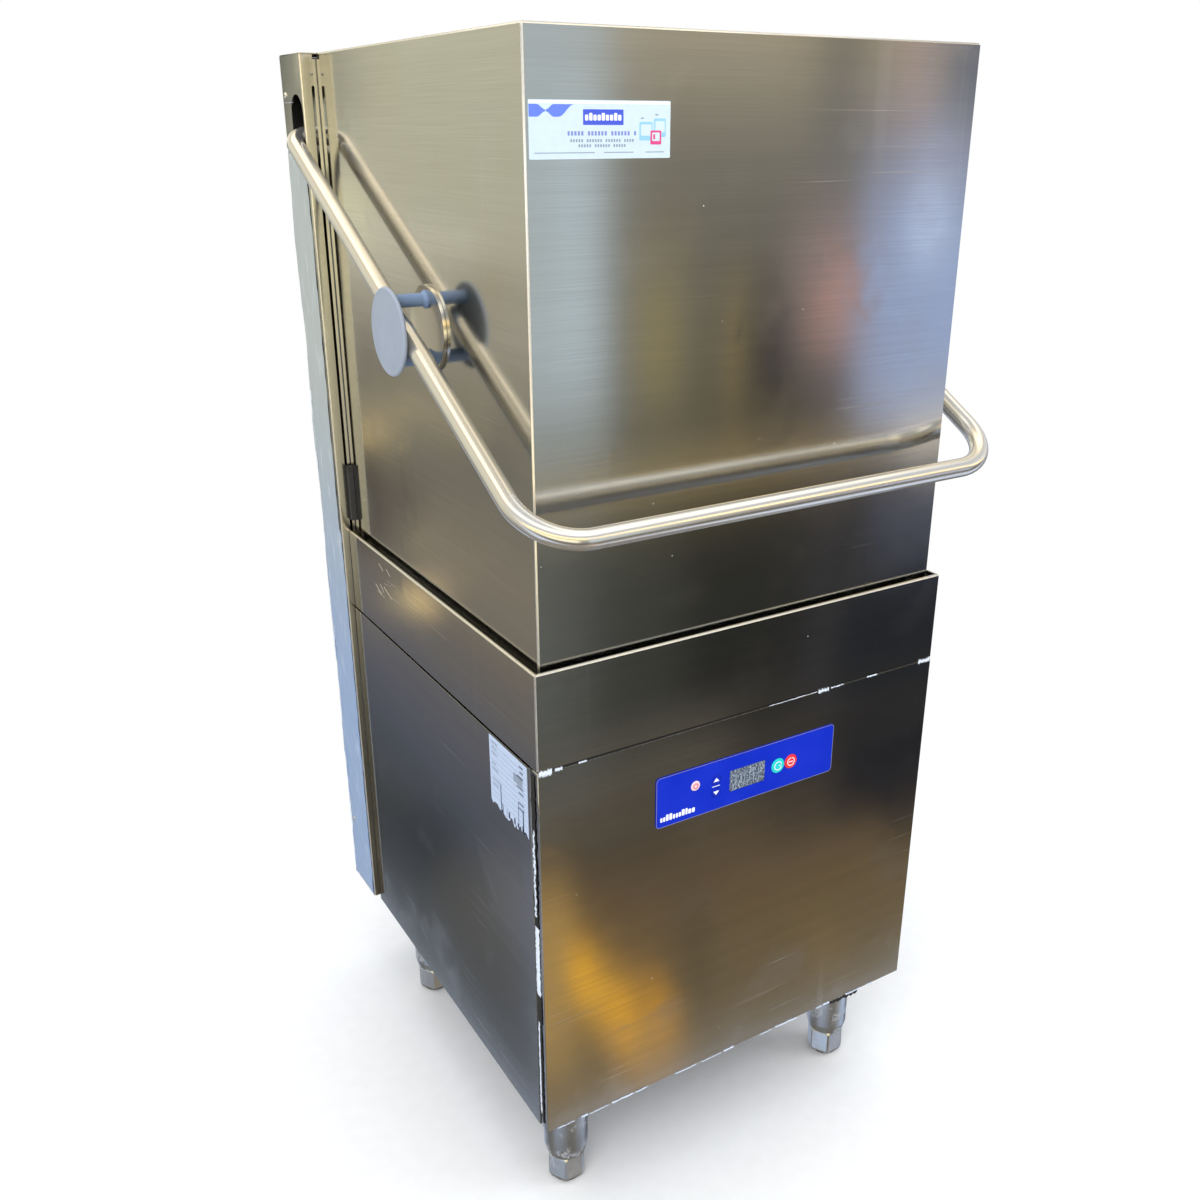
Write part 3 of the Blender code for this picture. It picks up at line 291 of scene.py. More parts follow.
def printed(name, base, roughness=0.4):
    """Printed label stock: one ink colour with slight unevenness."""
    made, s, sockets, place = new_material(name)
    uneven = s.ramp(s.noise(place, 120.0, 4.0), 0.35, 0.70)
    s.put(sockets["Base Color"], s.mix(s.times(uneven, 0.18), rgb(base), shade(base, 0.8)))
    s.put(sockets["Roughness"], s.plus(roughness, s.times(uneven, 0.10)))
    return made


def speckled_display():
    """A display window under scuffed plastic: grey flecks on a dark ground."""
    made, s, sockets, place = new_material("display_scuffed")
    flecks = s.ramp(s.noise(place, 1.0, 6.0, (900.0, 900.0, 420.0)), 0.45, 0.66)
    digits = s.ramp(s.noise(place, 1.0, 1.0, (130.0, 130.0, 40.0)), 0.45, 0.60)
    colour = s.mix(flecks, rgb((0.045, 0.06, 0.085)), rgb((0.42, 0.50, 0.58)))
    s.put(sockets["Base Color"], s.mix(s.times(digits, 0.35), colour, rgb((0.10, 0.13, 0.18))))
    s.put(sockets["Roughness"], s.plus(0.25, s.times(flecks, 0.35)))
    sockets["Coat Weight"].default_value = 0.5
    return made


def perforated_steel():
    """Strainer sheet with rows of small punched holes, drawn as near-black dips: painted shade in place of
    open holes.
    """
    made, s, sockets, place = new_material("strainer_steel")
    pitch = 0.005
    scaled = s.node("ShaderNodeVectorMath", {0: place, "Scale": 1.0 / pitch}, operation="SCALE")
    cell = s.vector("FRACTION", scaled.outputs["Vector"])
    centred = s.vector("SUBTRACT", cell, (0.5, 0.5, 0.5))
    level = s.vector("LENGTH", s.vector("MULTIPLY", centred, (1.0, 1.0, 0.0)))
    hole = s.ramp(level, 0.30, 0.26)
    # Each hole is painted near-black: painted shade where the real hole shows the dark below.
    s.put(sockets["Base Color"], s.mix(hole, rgb((0.52, 0.52, 0.51)), rgb((0.01, 0.01, 0.01))))
    s.put(sockets["Metallic"], s.minus(1.0, hole))
    s.put(sockets["Roughness"], s.plus(0.3, s.times(hole, 0.5)))
    s.put(sockets["Normal"], s.bump(s.minus(1.0, hole), 0.6, 0.0008))
    return made


HOOD_STEEL = brushed_steel("hood_steel", (0.585, 0.59, 0.58), 0.10, wear=0.9)
PANEL_STEEL = brushed_steel("panel_steel", (0.57, 0.57, 0.555), 0.085, wear=1.0, grain=1.2, anisotropy=0.5)
COLUMN_STEEL = brushed_steel("column_sheet_steel", (0.56, 0.56, 0.55), 0.20, wear=0.8)
INNER_STEEL = brushed_steel("chamber_steel", (0.62, 0.62, 0.61), 0.22, wear=0.7, grain=0.5, anisotropy=0.2)
# Near-white steel: polish on screws, rivets and rubbed scratches, and on the sheet folds also a painted
# highlight along each fold.
POLISH_AND_HIGHLIGHT_STEEL = plain_metal("polish_and_painted_highlight", (0.92, 0.91, 0.89), 0.30, 0.1)
TUBE_STEEL = plain_metal("polished_tube", (0.74, 0.72, 0.69), 0.18, 0.12, metallic=0.88)
DISC_STEEL = plain_metal("polished_disc", (0.70, 0.68, 0.63), 0.16, 0.2)
FRAME_STEEL = plain_metal("frame_bar_steel", (0.40, 0.40, 0.41), 0.42, 0.5)
RAIL_STEEL = plain_metal("rail_steel", (0.14, 0.11, 0.10), 0.5, 0.5)
SPRING_STEEL = plain_metal("spring_wire", (0.28, 0.28, 0.29), 0.32, 0.4)
LEG_METAL = plain_metal("worn_leg_metal", (0.56, 0.60, 0.66), 0.34, 0.4, corrosion=0.6)
FOOT_METAL = plain_metal("worn_foot_metal", (0.62, 0.66, 0.72), 0.32, 0.3, corrosion=0.3)
MOTOR_PAINT = moulded_plastic("motor_paint", (0.10, 0.11, 0.12), 0.5, 0.4, 0.5)
GUIDE_PLASTIC = moulded_plastic("guide_plastic", (0.30, 0.345, 0.42), 0.42, 0.12, 0.12)
POST_PLASTIC = moulded_plastic("post_plastic", (0.17, 0.25, 0.40), 0.34, 0.12, 0.15)
GLIDE_PLASTIC = moulded_plastic("glide_plastic", (0.74, 0.74, 0.70), 0.5, 0.2, 0.3)
BLACK_PLASTIC = moulded_plastic("black_plastic", (0.03, 0.03, 0.032), 0.55, 0.3, 0.4)
RUBBER = moulded_plastic("hose_rubber_black", (0.02, 0.02, 0.02), 0.7, 0.5, 0.3)
FASCIA_BLUE = moulded_plastic("fascia_film_blue", (0.001, 0.022, 0.50), 0.34, 0.05, 0.06, gloss=0.10)
KEY_BLUE = moulded_plastic("key_film_blue", (0.001, 0.018, 0.43), 0.34, 0.05, 0.08, gloss=0.12)
KEY_GREEN = moulded_plastic("key_film_green", (0.0, 0.62, 0.60), 0.36, 0.05, 0.10)
KEY_RED = moulded_plastic("key_film_red", (0.80, 0.02, 0.03), 0.36, 0.05, 0.10)
KEY_PALE = moulded_plastic("key_film_pale", (0.86, 0.62, 0.66), 0.38, 0.05, 0.10)
DISPLAY_GREY = speckled_display()
STRAINER_STEEL = perforated_steel()
FILM = torn_film("column_film", (0.36, 0.40, 0.38), (0.22, 0.33, 0.53))
WHITE_SHRED = torn_film("white_shred", (0.86, 0.88, 0.92), (0.70, 0.78, 0.92), 0.5)
BLACK_SEAL = moulded_plastic("black_seal", (0.012, 0.012, 0.014), 0.75, 0.8, 0.2)
LABEL_WHITE = printed("label_white", (0.63, 0.75, 0.81))
PLATE_WHITE = printed("plate_white", (0.50, 0.60, 0.78), 0.35)
INK_BLUE = printed("ink_blue", (0.055, 0.10, 0.66))
INK_SKY = printed("ink_sky", (0.30, 0.60, 0.82))
INK_RIBBON = printed("ink_ribbon", (0.13, 0.22, 0.86))
INK_VIOLET = printed("ink_violet", (0.22, 0.27, 0.62))
INK_PINK = printed("ink_pink", (0.74, 0.06, 0.24))
INK_LILAC = printed("ink_lilac", (0.23, 0.23, 0.36))
INK_GREY = printed("ink_grey", (0.28, 0.34, 0.44))
INK_DARK = printed("ink_dark", (0.05, 0.07, 0.13))
INK_RED = printed("ink_red", (0.72, 0.04, 0.10))
INK_WHITE = printed("ink_white", (0.90, 0.92, 0.95))
INK_EDGE = printed("ink_edge", (0.36, 0.38, 0.46))


# ---------------------------------------------------------------- shape helpers
def add(name, data, surface, body, replaces=(), more=()):
    """Places a piece on a body, with its materials, in place of the CAD nodes named."""
    for material in (surface, *more):
        data.materials.append(material)
    piece = bpy.data.objects.new(name, data)
    bpy.context.scene.collection.objects.link(piece)
    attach(piece, body)
    if replaces:
        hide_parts(*replaces)
    return piece


def mesh_from(name, shape, angle=35):
    """A mesh from a bmesh: normals outward, smooth but for edges sharper than the angle in degrees."""
    bmesh.ops.recalc_face_normals(shape, faces=shape.faces[:])
    made = bpy.data.meshes.new(name)
    shape.to_mesh(made)
    shape.free()
    made.shade_smooth()
    made.set_sharp_from_angle(angle=math.radians(angle))
    return made


def raise_face(shape, corners, step):
    """Draws a face through the corners and pushes a copy of it out. Returns the copy's corners."""
    base = shape.faces.new([shape.verts.new(corner) for corner in corners])
    raised = bmesh.ops.extrude_face_region(shape, geom=[base])["geom"]
    top = [v for v in raised if isinstance(v, bmesh.types.BMVert)]
    bmesh.ops.translate(shape, verts=top, vec=step)
    return top


def soften_rim(shape, top, offset):
    """Rounds the edges between the given corners."""
    rim = [e for e in shape.edges if all(v in top for v in e.verts)]
    bmesh.ops.bevel(shape, geom=rim, offset=offset, segments=2, affect="EDGES")


def thicken(piece, thickness, offset=0.0):
    """Gives a sheet its thickness: centred (offset 0), or all of it inward (offset -1)."""
    wall = piece.modifiers.new("sheet", "SOLIDIFY")
    wall.thickness = thickness
    wall.offset = offset


def round_cutter(place, radius, depth, tilt=0.0):
    """A cylinder to cut with, upright or tilted about X."""
    bpy.ops.mesh.primitive_cylinder_add(
        vertices=48, radius=radius, depth=depth, location=place, rotation=(tilt, 0, 0)
    )
    return bpy.context.object


def cut_out(piece, cutters):
    """Cuts the cutters' shapes out of a piece, and removes the cutters."""
    for cutter in cutters:
        cut = piece.modifiers.new("cut", "BOOLEAN")
        cut.object = cutter
        cut.operation = "DIFFERENCE"
        cut.solver = "EXACT"
    bpy.context.view_layer.update()
    result = bpy.data.meshes.new_from_object(piece.evaluated_get(bpy.context.evaluated_depsgraph_get()))
    piece.modifiers.clear()
    piece.data = result
    result.shade_smooth()
    result.set_sharp_from_angle(angle=math.radians(40))
    for cutter in cutters:
        bpy.data.objects.remove(cutter)


def shell(name, faces, fold):
    """Bent sheet from its outer faces' corners. Folds are rounded, and take the second material."""
    shape = bmesh.new()
    known = {}

    def vertex(point):
        key = tuple(round(c, 6) for c in point)
        if key not in known:
            known[key] = shape.verts.new(point)
        return known[key]

    for face in faces:
        shape.faces.new([vertex(p) for p in face])
    bmesh.ops.recalc_face_normals(shape, faces=shape.faces[:])
    biggest = max(shape.faces, key=lambda f: f.calc_area())
    middle = sum((v.co for v in shape.verts), Vector()) / len(shape.verts)
    if biggest.normal.dot(biggest.calc_center_median() - middle) < 0:
        bmesh.ops.reverse_faces(shape, faces=shape.faces[:])
    folds = [e for e in shape.edges if len(e.link_faces) == 2 and e.calc_face_angle(0.0) > 0.5]
    bmesh.ops.bevel(shape, geom=folds, offset=fold, segments=4, affect="EDGES", material=1)
    made = bpy.data.meshes.new(name)
    shape.to_mesh(made)
    shape.free()
    made.shade_smooth()
    return made


def bent_sheet(name, faces, thickness, surface, body, replaces, fold=0.0022, polish_and_highlight_at=None):
    """A piece of folded sheet, flat but for smooth folds. A fold takes the near-white steel, polish with a
    painted highlight along it, where the given test on its place says so, and every fold does when no test is
    given.
    """
    data = shell(name, faces, fold)
    # Folds that the test picks keep the near-white steel, a painted highlight as well as polish; the others
    # take the sheet's own steel.
    for face in data.polygons:
        if face.material_index == 1 and polish_and_highlight_at and not polish_and_highlight_at(face.center):
            face.material_index = 0
    piece = add(name, data, surface, body, replaces, more=(POLISH_AND_HIGHLIGHT_STEEL,))
    thicken(piece, thickness, -1.0)
    flat = piece.modifiers.new("flat_faces", "WEIGHTED_NORMAL")
    flat.keep_sharp = True
    return piece


def quad(axis, level, a, b):
    """A rectangle square to an axis at a level, between two corners given in the other two axes."""
    points = []
    for u, v in ((a[0], a[1]), (b[0], a[1]), (b[0], b[1]), (a[0], b[1])):
        point = [u, v]
        point.insert(axis, level)
        points.append(tuple(point))
    return points


def lathe(name, profile, surface, body, place, direction=(0, 0, 1), segments=64, replaces=()):
    """A solid turned from (radius, height) points about a direction through a place."""
    shape = bmesh.new()
    rings = []
    for radius, height in profile:
        count = 1 if radius < 1e-6 else segments
        turns = [2 * math.pi * i / segments for i in range(count)]
        rings.append([shape.verts.new((radius * math.cos(t), radius * math.sin(t), height)) for t in turns])
    pairs = list(zip(rings, rings[1:]))
    if profile[0][0] > 1e-6:
        pairs.append((rings[-1], rings[0]))
    for low, high in pairs:
        for i in range(segments):
            j = (i + 1) % segments
            corners = [low[i % len(low)], low[j % len(low)], high[j % len(high)], high[i % len(high)]]
            shape.faces.new(list(dict.fromkeys(corners)))
    turn = Vector((0, 0, 1)).rotation_difference(Vector(direction)).to_matrix().to_4x4()
    bmesh.ops.transform(shape, matrix=Matrix.Translation(Vector(place)) @ turn, verts=shape.verts)
    return add(name, mesh_from(name, shape, 30), surface, body, replaces)


def rounded(corners, radii, steps):
    """A polyline with each inner corner replaced by an arc."""
    corners = [Vector(c) for c in corners]
    points = [corners[0]]
    for before, here, after, radius in zip(corners, corners[1:], corners[2:], radii):
        back, ahead = (before - here).normalized(), (after - here).normalized()
        half = back.angle(ahead) / 2
        middle = here + (back + ahead).normalized() * (radius / math.sin(half))
        start = here + back * (radius / math.tan(half)) - middle
        end = here + ahead * (radius / math.tan(half)) - middle
        axis = start.cross(end).normalized()
        turn = start.angle(end)
        points += [middle + Matrix.Rotation(turn * i / steps, 3, axis) @ start for i in range(steps + 1)]
    return [*points, corners[-1]]


def pipe(name, points, radius, surface, body, replaces, sides):
    """A smooth round bar or pipe along points, swept with a frame that doesn't twist."""
    points = [Vector(p) for p in points]
    shape = bmesh.new()
    across = None
    rings = []
    for i, point in enumerate(points):
        ahead = (points[min(i + 1, len(points) - 1)] - points[max(i - 1, 0)]).normalized()
        if across is None:
            across = ahead.orthogonal().normalized()
        across = (across - ahead * across.dot(ahead)).normalized()
        side = ahead.cross(across)
        ring = []
        for k in range(sides):
            turn = 2 * math.pi * k / sides
            ring.append(shape.verts.new(point + radius * (math.cos(turn) * across + math.sin(turn) * side)))
        rings.append(ring)
    for low, high in zip(rings, rings[1:]):
        for k in range(sides):
            j = (k + 1) % sides
            shape.faces.new((low[k], low[j], high[j], high[k]))
    shape.faces.new(rings[0])
    shape.faces.new(rings[-1])
    return add(name, mesh_from(name, shape, 50), surface, body, replaces)


def outline_plate(name, points, near, far, surface, body, plane="front", round_edge=0.0, replaces=()):
    """A flat plate from an outline: (x, z) points on the front, (y, z) on a side, (x, y) on a level."""
    placed = {
        "front": lambda p, depth: (p[0], depth, p[1]),
        "side": lambda p, depth: (depth, p[0], p[1]),
        "level": lambda p, depth: (p[0], p[1], depth),
    }[plane]
    shape = bmesh.new()
    step = Vector(placed((0, 0), near)) - Vector(placed((0, 0), far))
    top = raise_face(shape, [placed(p, far) for p in points], step)
    if round_edge:
        soften_rim(shape, top, round_edge)
    return add(name, mesh_from(name, shape, 40), surface, body, replaces)


def rounded_box(left, right, low, high, radius, steps=6):
    """A rectangle's outline with round corners."""
    points = []
    for quarter, (sx, sy) in enumerate(((1, 1), (-1, 1), (-1, -1), (1, -1))):
        for i in range(steps + 1):
            angle = math.pi / 2 * (quarter + i / steps)
            x = (left + right) / 2 + sx * ((right - left) / 2 - radius) + radius * math.cos(angle)
            y = (low + high) / 2 + sy * ((high - low) / 2 - radius) + radius * math.sin(angle)
            points.append((x, y))
    return points


def arc_band(x, y, inner, outer, start, end):
    """The outline of a ring's stretch between two angles in degrees."""
    count = 28
    turns = [math.radians(start + (end - start) * i / count) for i in range(count + 1)]
    return [(x + outer * math.cos(t), y + outer * math.sin(t)) for t in turns] + [
        (x + inner * math.cos(t), y + inner * math.sin(t)) for t in reversed(turns)
    ]


def shred(name, left, right, low, high, ragged, surface, plane, depth, seed, steps, across=False):
    """A torn strip of film: both long edges are ragged, and it lifts off the sheet here and there."""
    dice = random.Random(seed)
    shape = bmesh.new()
    rows = []
    for i in range(steps + 1):
        t = i / steps
        fade = min(1.0, 6 * t, 6 * (1 - t))
        a = left + ragged * (dice.random() - 0.2)
        b = right - ragged * (dice.random() - 0.2)
        lift = 0.0002 + 0.0006 * dice.random() * fade
        along = low + (high - low) * (t + (dice.random() - 0.5) * 0.5 / steps * fade)
        row = []
        for u in (a, (a + b) / 2, b):
            flat = (along, u) if across else (u, along)
            wave = lift if u != (a + b) / 2 else lift * 0.4
            if plane == "front":
                row.append(shape.verts.new((flat[0], depth - wave, flat[1])))
            else:
                side = math.copysign(1.0, depth)
                row.append(shape.verts.new((depth + side * wave, flat[0], flat[1])))
        rows.append(row)
    for one, two in zip(rows, rows[1:]):
        for k in range(2):
            shape.faces.new((one[k], one[k + 1], two[k + 1], two[k]))
    thicken(add(name, mesh_from(name, shape, 60), surface, "cabinet"), 0.00025)


def mirrored(faces, side):
    """The same faces on the left (side -1) or the right (side 1), given for the right."""
    return [[(side * x, y, z) for x, y, z in face] for face in faces]


def both_sides(faces):
    """The same faces on the left and on the right, given for the right."""
    return mirrored(faces, LEFT) + mirrored(faces, RIGHT)


# ---------------------------------------------------------------- sheet metal
# Folds this near a hem get no painted highlight.
PLAIN_FOLD_MARGIN = 0.006  # how near a sheet's hem its folds stay dull


def hood():
    """The hood's front, sides and top, with its hem below and its folds behind."""
    (left, front, low), (right, rear, top) = HOOD
    hem, fold = 0.006, 0.014
    edge, ahead = right - hem, front + hem
    faces = [
        quad(1, front, (left, low), (right, top)),
        quad(0, left, (front, low), (rear, top)),
        quad(0, right, (front, low), (rear, top)),
        quad(2, top, (left, front), (right, rear)),
        [(left, front, low), (right, front, low), (edge, ahead, low), (-edge, ahead, low)],
    ]
    side_hem = [(right, front, low), (right, rear, low), (edge, rear, low), (edge, ahead, low)]
    inner, below = right - fold, top - fold
    rear_fold = [(right, rear, low), (right, rear, top), (inner, rear, below), (inner, rear, low)]
    top_fold = [(left, rear, top), (right, rear, top), (inner, rear, below), (-inner, rear, below)]
    faces += both_sides([side_hem, rear_fold])
    # All folds but the hem's and the rear ones get the painted highlight.
    bent_sheet(
        "hood_sheet", [*faces, top_fold], HOOD_SHEET, HOOD_STEEL, "hood", ["hood_shell"],
        polish_and_highlight_at=lambda place: place.z > low + PLAIN_FOLD_MARGIN and place.y < rear - PLAIN_FOLD_MARGIN,
    )


def rim():
    """The band at table height that the hood closes into."""
    (left, front, low), (right, rear, top) = RIM
    hem, flange = 0.004, 0.010
    faces = [
        quad(1, front, (left, low), (right, top)),
        quad(0, left, (front, low), (rear, top)),
        quad(0, right, (front, low), (rear, top)),
    ]
    for level, depth in ((top, hem), (low, flange)):
        inner, ahead = right - depth, front + depth
        outer = [(left, front, level), (right, front, level)]
        faces.append([*outer, (inner, ahead, level), (-inner, ahead, level)])
        edge = [(right, front, level), (right, rear, level), (inner, rear, level), (inner, ahead, level)]
        faces += both_sides([edge])
    # All folds but the lower ones get the painted highlight.
    bent_sheet(
        "rim_sheet", faces, SHEET, PANEL_STEEL, "cabinet", ["rim_band"], 0.0018,
        polish_and_highlight_at=lambda place: place.z > low + PLAIN_FOLD_MARGIN,
    )


def front_tray():
    """The removable front: a tray with a window behind the control panel."""
    (left, front, low), (right, back, top) = FRONT_PANEL
    side_lap, low_lap, top_lap = 0.012, 0.010, 0.008  # how far the control panel covers the window's edges
    xs = [left, FASCIA[0].x + side_lap, FASCIA[1].x - side_lap, right]
    zs = [low, FASCIA[0].z + low_lap, FASCIA[1].z - top_lap, top]
    faces = []
    for i in range(3):
        for j in range(3):
            if (i, j) != (1, 1):
                faces.append(quad(1, front, (xs[i], zs[j]), (xs[i + 1], zs[j + 1])))
    for x in (left, right):
        faces.append([(x, front, z) for z in zs] + [(x, back, top), (x, back, low)])
    for z in (low, top):
        faces.append([(x, front, z) for x in xs] + [(right, back, z), (left, back, z)])
    bent_sheet(
        "front_sheet", faces, SHEET, PANEL_STEEL, "cabinet", ["front_panel"], 0.0012,
        polish_and_highlight_at=lambda place: False,
    )


def side_sheet(word, side):
    """A side panel: a sheet with its front, rear and lower edges folded inward."""
    node = "side_panel_" + word
    outer = max(abs(corner.x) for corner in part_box(node))
    inner = outer - 0.012
    (_, front, low), (_, rear, high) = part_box(node)
    faces = [
        quad(0, outer, (front, low), (rear, high)),
        quad(1, front, (inner, low), (outer, high)),
        quad(1, rear, (inner, low), (outer, high)),
        [(outer, front, low), (outer, rear, low), (inner, rear, low), (inner, front, low)],
    ]
    name = f"side_sheet_{word}"
    bent_sheet(
        name, mirrored(faces, side), SHEET, PANEL_STEEL, "cabinet", [node], 0.0012,
        polish_and_highlight_at=lambda place: place.z > high - 0.004,
    )


HOLE_RADIUS = 0.026  # the upright oblong hole that the handle's end goes through
HOLE_RISE = 0.026
SLOT_INNER, SLOT_OUTER = BACK_WALL[1].x, 0.3125
SLOT_END = 1.470  # height where the slot's round upper end begins


def column():
    """The column's back, its sides with the handle's oblong holes, and the narrow edges beside the hood."""
    (left, front, low), (right, rear, top) = COLUMN
    steps = 18
    half_turn = [math.pi * i / steps - math.pi / 2 for i in range(steps + 1)]
    y, z = PIVOT.y, PIVOT.z
    behind = []
    for turn in half_turn:
        for wanted, rise in ((turn <= 0, 0.0), (turn >= 0, HOLE_RISE)):
            if wanted:
                behind.append((y + HOLE_RADIUS * math.cos(turn), z + rise + HOLE_RADIUS * math.sin(turn)))
    ahead = [(2 * y - a, b) for a, b in behind]
    rear_part = [(y, low), *behind, (y, top), (rear, top), (rear, low)]
    front_part = [(y, low), *ahead, (y, top), (front, top), (front, low)]
    faces = [quad(1, rear, (left, low), (right, top))]
    for x in (left, right):
        faces += [[(x, a, b) for a, b in part] for part in (rear_part, front_part)]
    strip = quad(1, front, (SLOT_OUTER, low), (right, top))
    faces += both_sides([strip])
    node, fold = "column_shell", 0.0016
    # Every fold of the column gets the painted highlight.
    bent_sheet("column_sheet", faces, HOOD_SHEET, COLUMN_STEEL, "cabinet", [node], fold)


def column_trim(word, side):
    """What closes the slot's upper end, the rivet above it, and the screws and seam on the column's side."""
    body, slot = "cabinet", "column_steel"
    near, far = COLUMN_FRONT - 0.0002, COLUMN_FRONT + 0.0014
    top = COLUMN[1].z - GAP
    middle, half = (SLOT_INNER + SLOT_OUTER) / 2, (SLOT_OUTER - SLOT_INNER) / 2
    outline = [(side * SLOT_INNER, top), (side * SLOT_OUTER, top)]
    for i in range(13):
        turn = math.pi * i / 12
        outline.append((side * (middle + half * math.cos(turn)), SLOT_END + half * math.sin(turn)))
    outline_plate(f"slot_end_{word}", outline, near, far, COLUMN_STEEL, body)
    rivet = [(0, -0.0006), (0.0018, 0.0), (0.0018, 0.0003), (0.0012, 0.0007), (0.0, 0.0008)]
    place = (side * (middle + 0.0006), near, SLOT_END + 0.016)
    lathe(f"slot_rivet_{word}", rivet, FRAME_STEEL, body, place, (0, -1, 0), 20)
    face = side * (HALF_COLUMN + 0.0001)
    head = [(0, -0.0010), (0.0042, -0.0010), (0.0042, 0.0004), (0.0036, 0.0013)]
    head += [(0.0012, 0.0018), (0, 0.0018)]
    y = REAR - 0.014
    notch, half_notch = 0.0022, 0.0004
    for tag, z in (("upper", 1.461), ("lower", 0.300)):
        lathe(f"column_screw_{tag}_{word}", head, POLISH_AND_HIGHLIGHT_STEEL, body, (face, y, z), (side, 0, 0), 28)
        cross = [(y - notch, z - half_notch), (y + notch, z - half_notch)]
        cross += [(y + notch, z + half_notch), (y - notch, z + half_notch)]
        name = f"column_screw_cross_{tag}_{word}"
        near, far = face + side * 0.0020, face + side * 0.0016
        outline_plate(name, cross, near, far, BLACK_PLASTIC, body, "side")
    start, end = PIVOT.y + 0.012, REAR - 0.003
    seam = [(start, 1.4524), (end, 1.4520), (end, 1.4514), (start, 1.4516)]
    proud = side * 0.0002
    outline_plate(f"column_seam_{word}", seam, face + proud, face - proud, INK_EDGE, body, "side")


def column_cap():
    """The column's top: a shallow lid with rounded edges."""
    (left, front, low), (right, rear, top) = CAP
    low = COLUMN[1].z + GAP
    outline = rounded_box(left, right, front, rear, 0.003)
    outline_plate(
        "column_lid", outline, top, low, COLUMN_STEEL, "cabinet", "level",
        round_edge=0.0005, replaces=["column_top_cap"],
    )


def film_sheet(name, side, low, high, seed):
    """Protective film on the column's side: ragged along its front and rear edges, puckered, and curling off
    at its rear edge.
    """
    dice = random.Random(seed)
    rows, columns = 150, 12
    shape = bmesh.new()
    grid = []
    sway = [dice.uniform(0, 6.28) for _ in range(6)]
    for i in range(rows + 1):
        t = i / rows
        z = low + (high - low) * t
        tear = 0.0016 * dice.random() + 0.0006 * math.sin(37 * z + sway[0])
        bare = 0.009 if z > RIM[1].z else 0.0022
        front = COLUMN_FRONT + bare + tear
        rear = REAR - 0.0012 + 0.0012 * (dice.random() - 0.3) + 0.0008 * math.sin(29 * z + sway[1])
        line = []
        for j in range(columns + 1):
            s = j / columns
            y = front + (rear - front) * s
            pucker = 0.00022 * math.sin(61 * z + 9 * s + sway[2])
            pucker += 0.00018 * math.sin(143 * z - 14 * s + sway[3])
            curl = 0.0016 * max(0.0, s - 0.86) / 0.14 * (0.5 + 0.5 * math.sin(23 * z + sway[4]))
            lift = 0.0006 + pucker + curl
            line.append(shape.verts.new((side * (HALF_COLUMN + lift), y, z)))
        grid.append(line)
    for one, two in zip(grid, grid[1:]):
        for j in range(columns):
            shape.faces.new((one[j], one[j + 1], two[j + 1], two[j]))
    thicken(add(name, mesh_from(name, shape, 70), FILM, "cabinet"), 0.0002)


def column_film():
    """Film left on the column's sides from just under the handle's elbow down to the floor end."""
    top = 1.386
    for word, side, seed in (("left", LEFT, 3), ("right", RIGHT, 11)):
        film_sheet("column_film_" + word, side, COLUMN[0].z + 0.002, top, seed)
        for tag, low, high, grow in (("low", 0.21, 0.52, 1), ("mid", 0.60, 0.72, 2), ("high", 0.93, 1.05, 3)):
            face = side * (HALF_COLUMN + 0.0014)
            shred(
                f"column_shred_{tag}_{word}", REAR - 0.0045, REAR + 0.0014, low, high, 0.0022,
                WHITE_SHRED, "side", face, seed + grow, 34,
            )


# ---------------------------------------------------------------- handle and its guides
def handle():
    """The bent tube: down both sides of the hood and across its front, with its ends in the column."""
    inner = SHAFT[1].x + GAP
    corners = [
        (-inner, PIVOT.y, PIVOT.z),
        (-ARM_X, PIVOT.y, PIVOT.z),
        (-ARM_X, BAR.y, BAR.z),
        (ARM_X, BAR.y, BAR.z),
        (ARM_X, PIVOT.y, PIVOT.z),
        (inner, PIVOT.y, PIVOT.z),
    ]
    line = rounded(corners, (0.030, 0.070, 0.070, 0.030), 20)
    pipe("handle_bar", line, TUBE_RADIUS, TUBE_STEEL, "handle", ["handle_tube"], 40)


def dish_profile(radius, start, face):
    """The steel base's outline, from the hood (start) to its face."""
    return [
        (0, start),
        (radius, start),
        (radius, start + 0.0010),
        (radius - 0.0006, face - 0.0002),
        (radius - 0.0030, face),
        (radius - 0.0070, face - 0.0012),
        (radius * 0.52, face - 0.0020),
        (0, face - 0.0018),
    ]


def disc_profile(radius, inner, outer):
    """The outer disc's outline, with a rounded rim and a shallow dip in its face."""
    return [
        (0, inner + 0.0006),
        (radius * 0.60, inner + 0.0006),
        (radius * 0.62, inner),
        (radius - 0.0022, inner),
        (radius - 0.0006, inner + 0.0010),
        (radius, inner + 0.0026),
        (radius - 0.0004, outer - 0.0014),
        (radius - 0.0018, outer - 0.0003),
        (radius * 0.90, outer),
        (radius * 0.86, outer - 0.0003),
        (radius * 0.84, outer - 0.0001),
        (radius * 0.30, outer - 0.0004),
        (0, outer - 0.0005),
    ]


def post_profile(face, inner):
    """A post's outline, wider at both of its ends."""
    return [
        (0, face - 0.0016),
        (0.0108, face - 0.0016),
        (0.0108, face + 0.0006),
        (0.0092, face + 0.0022),
        (0.0080, face + 0.0040),
        (0.0080, inner - 0.0030),
        (0.0086, inner - 0.0008),
        (0.0086, inner + 0.0004),
        (0, inner + 0.0004),
    ]


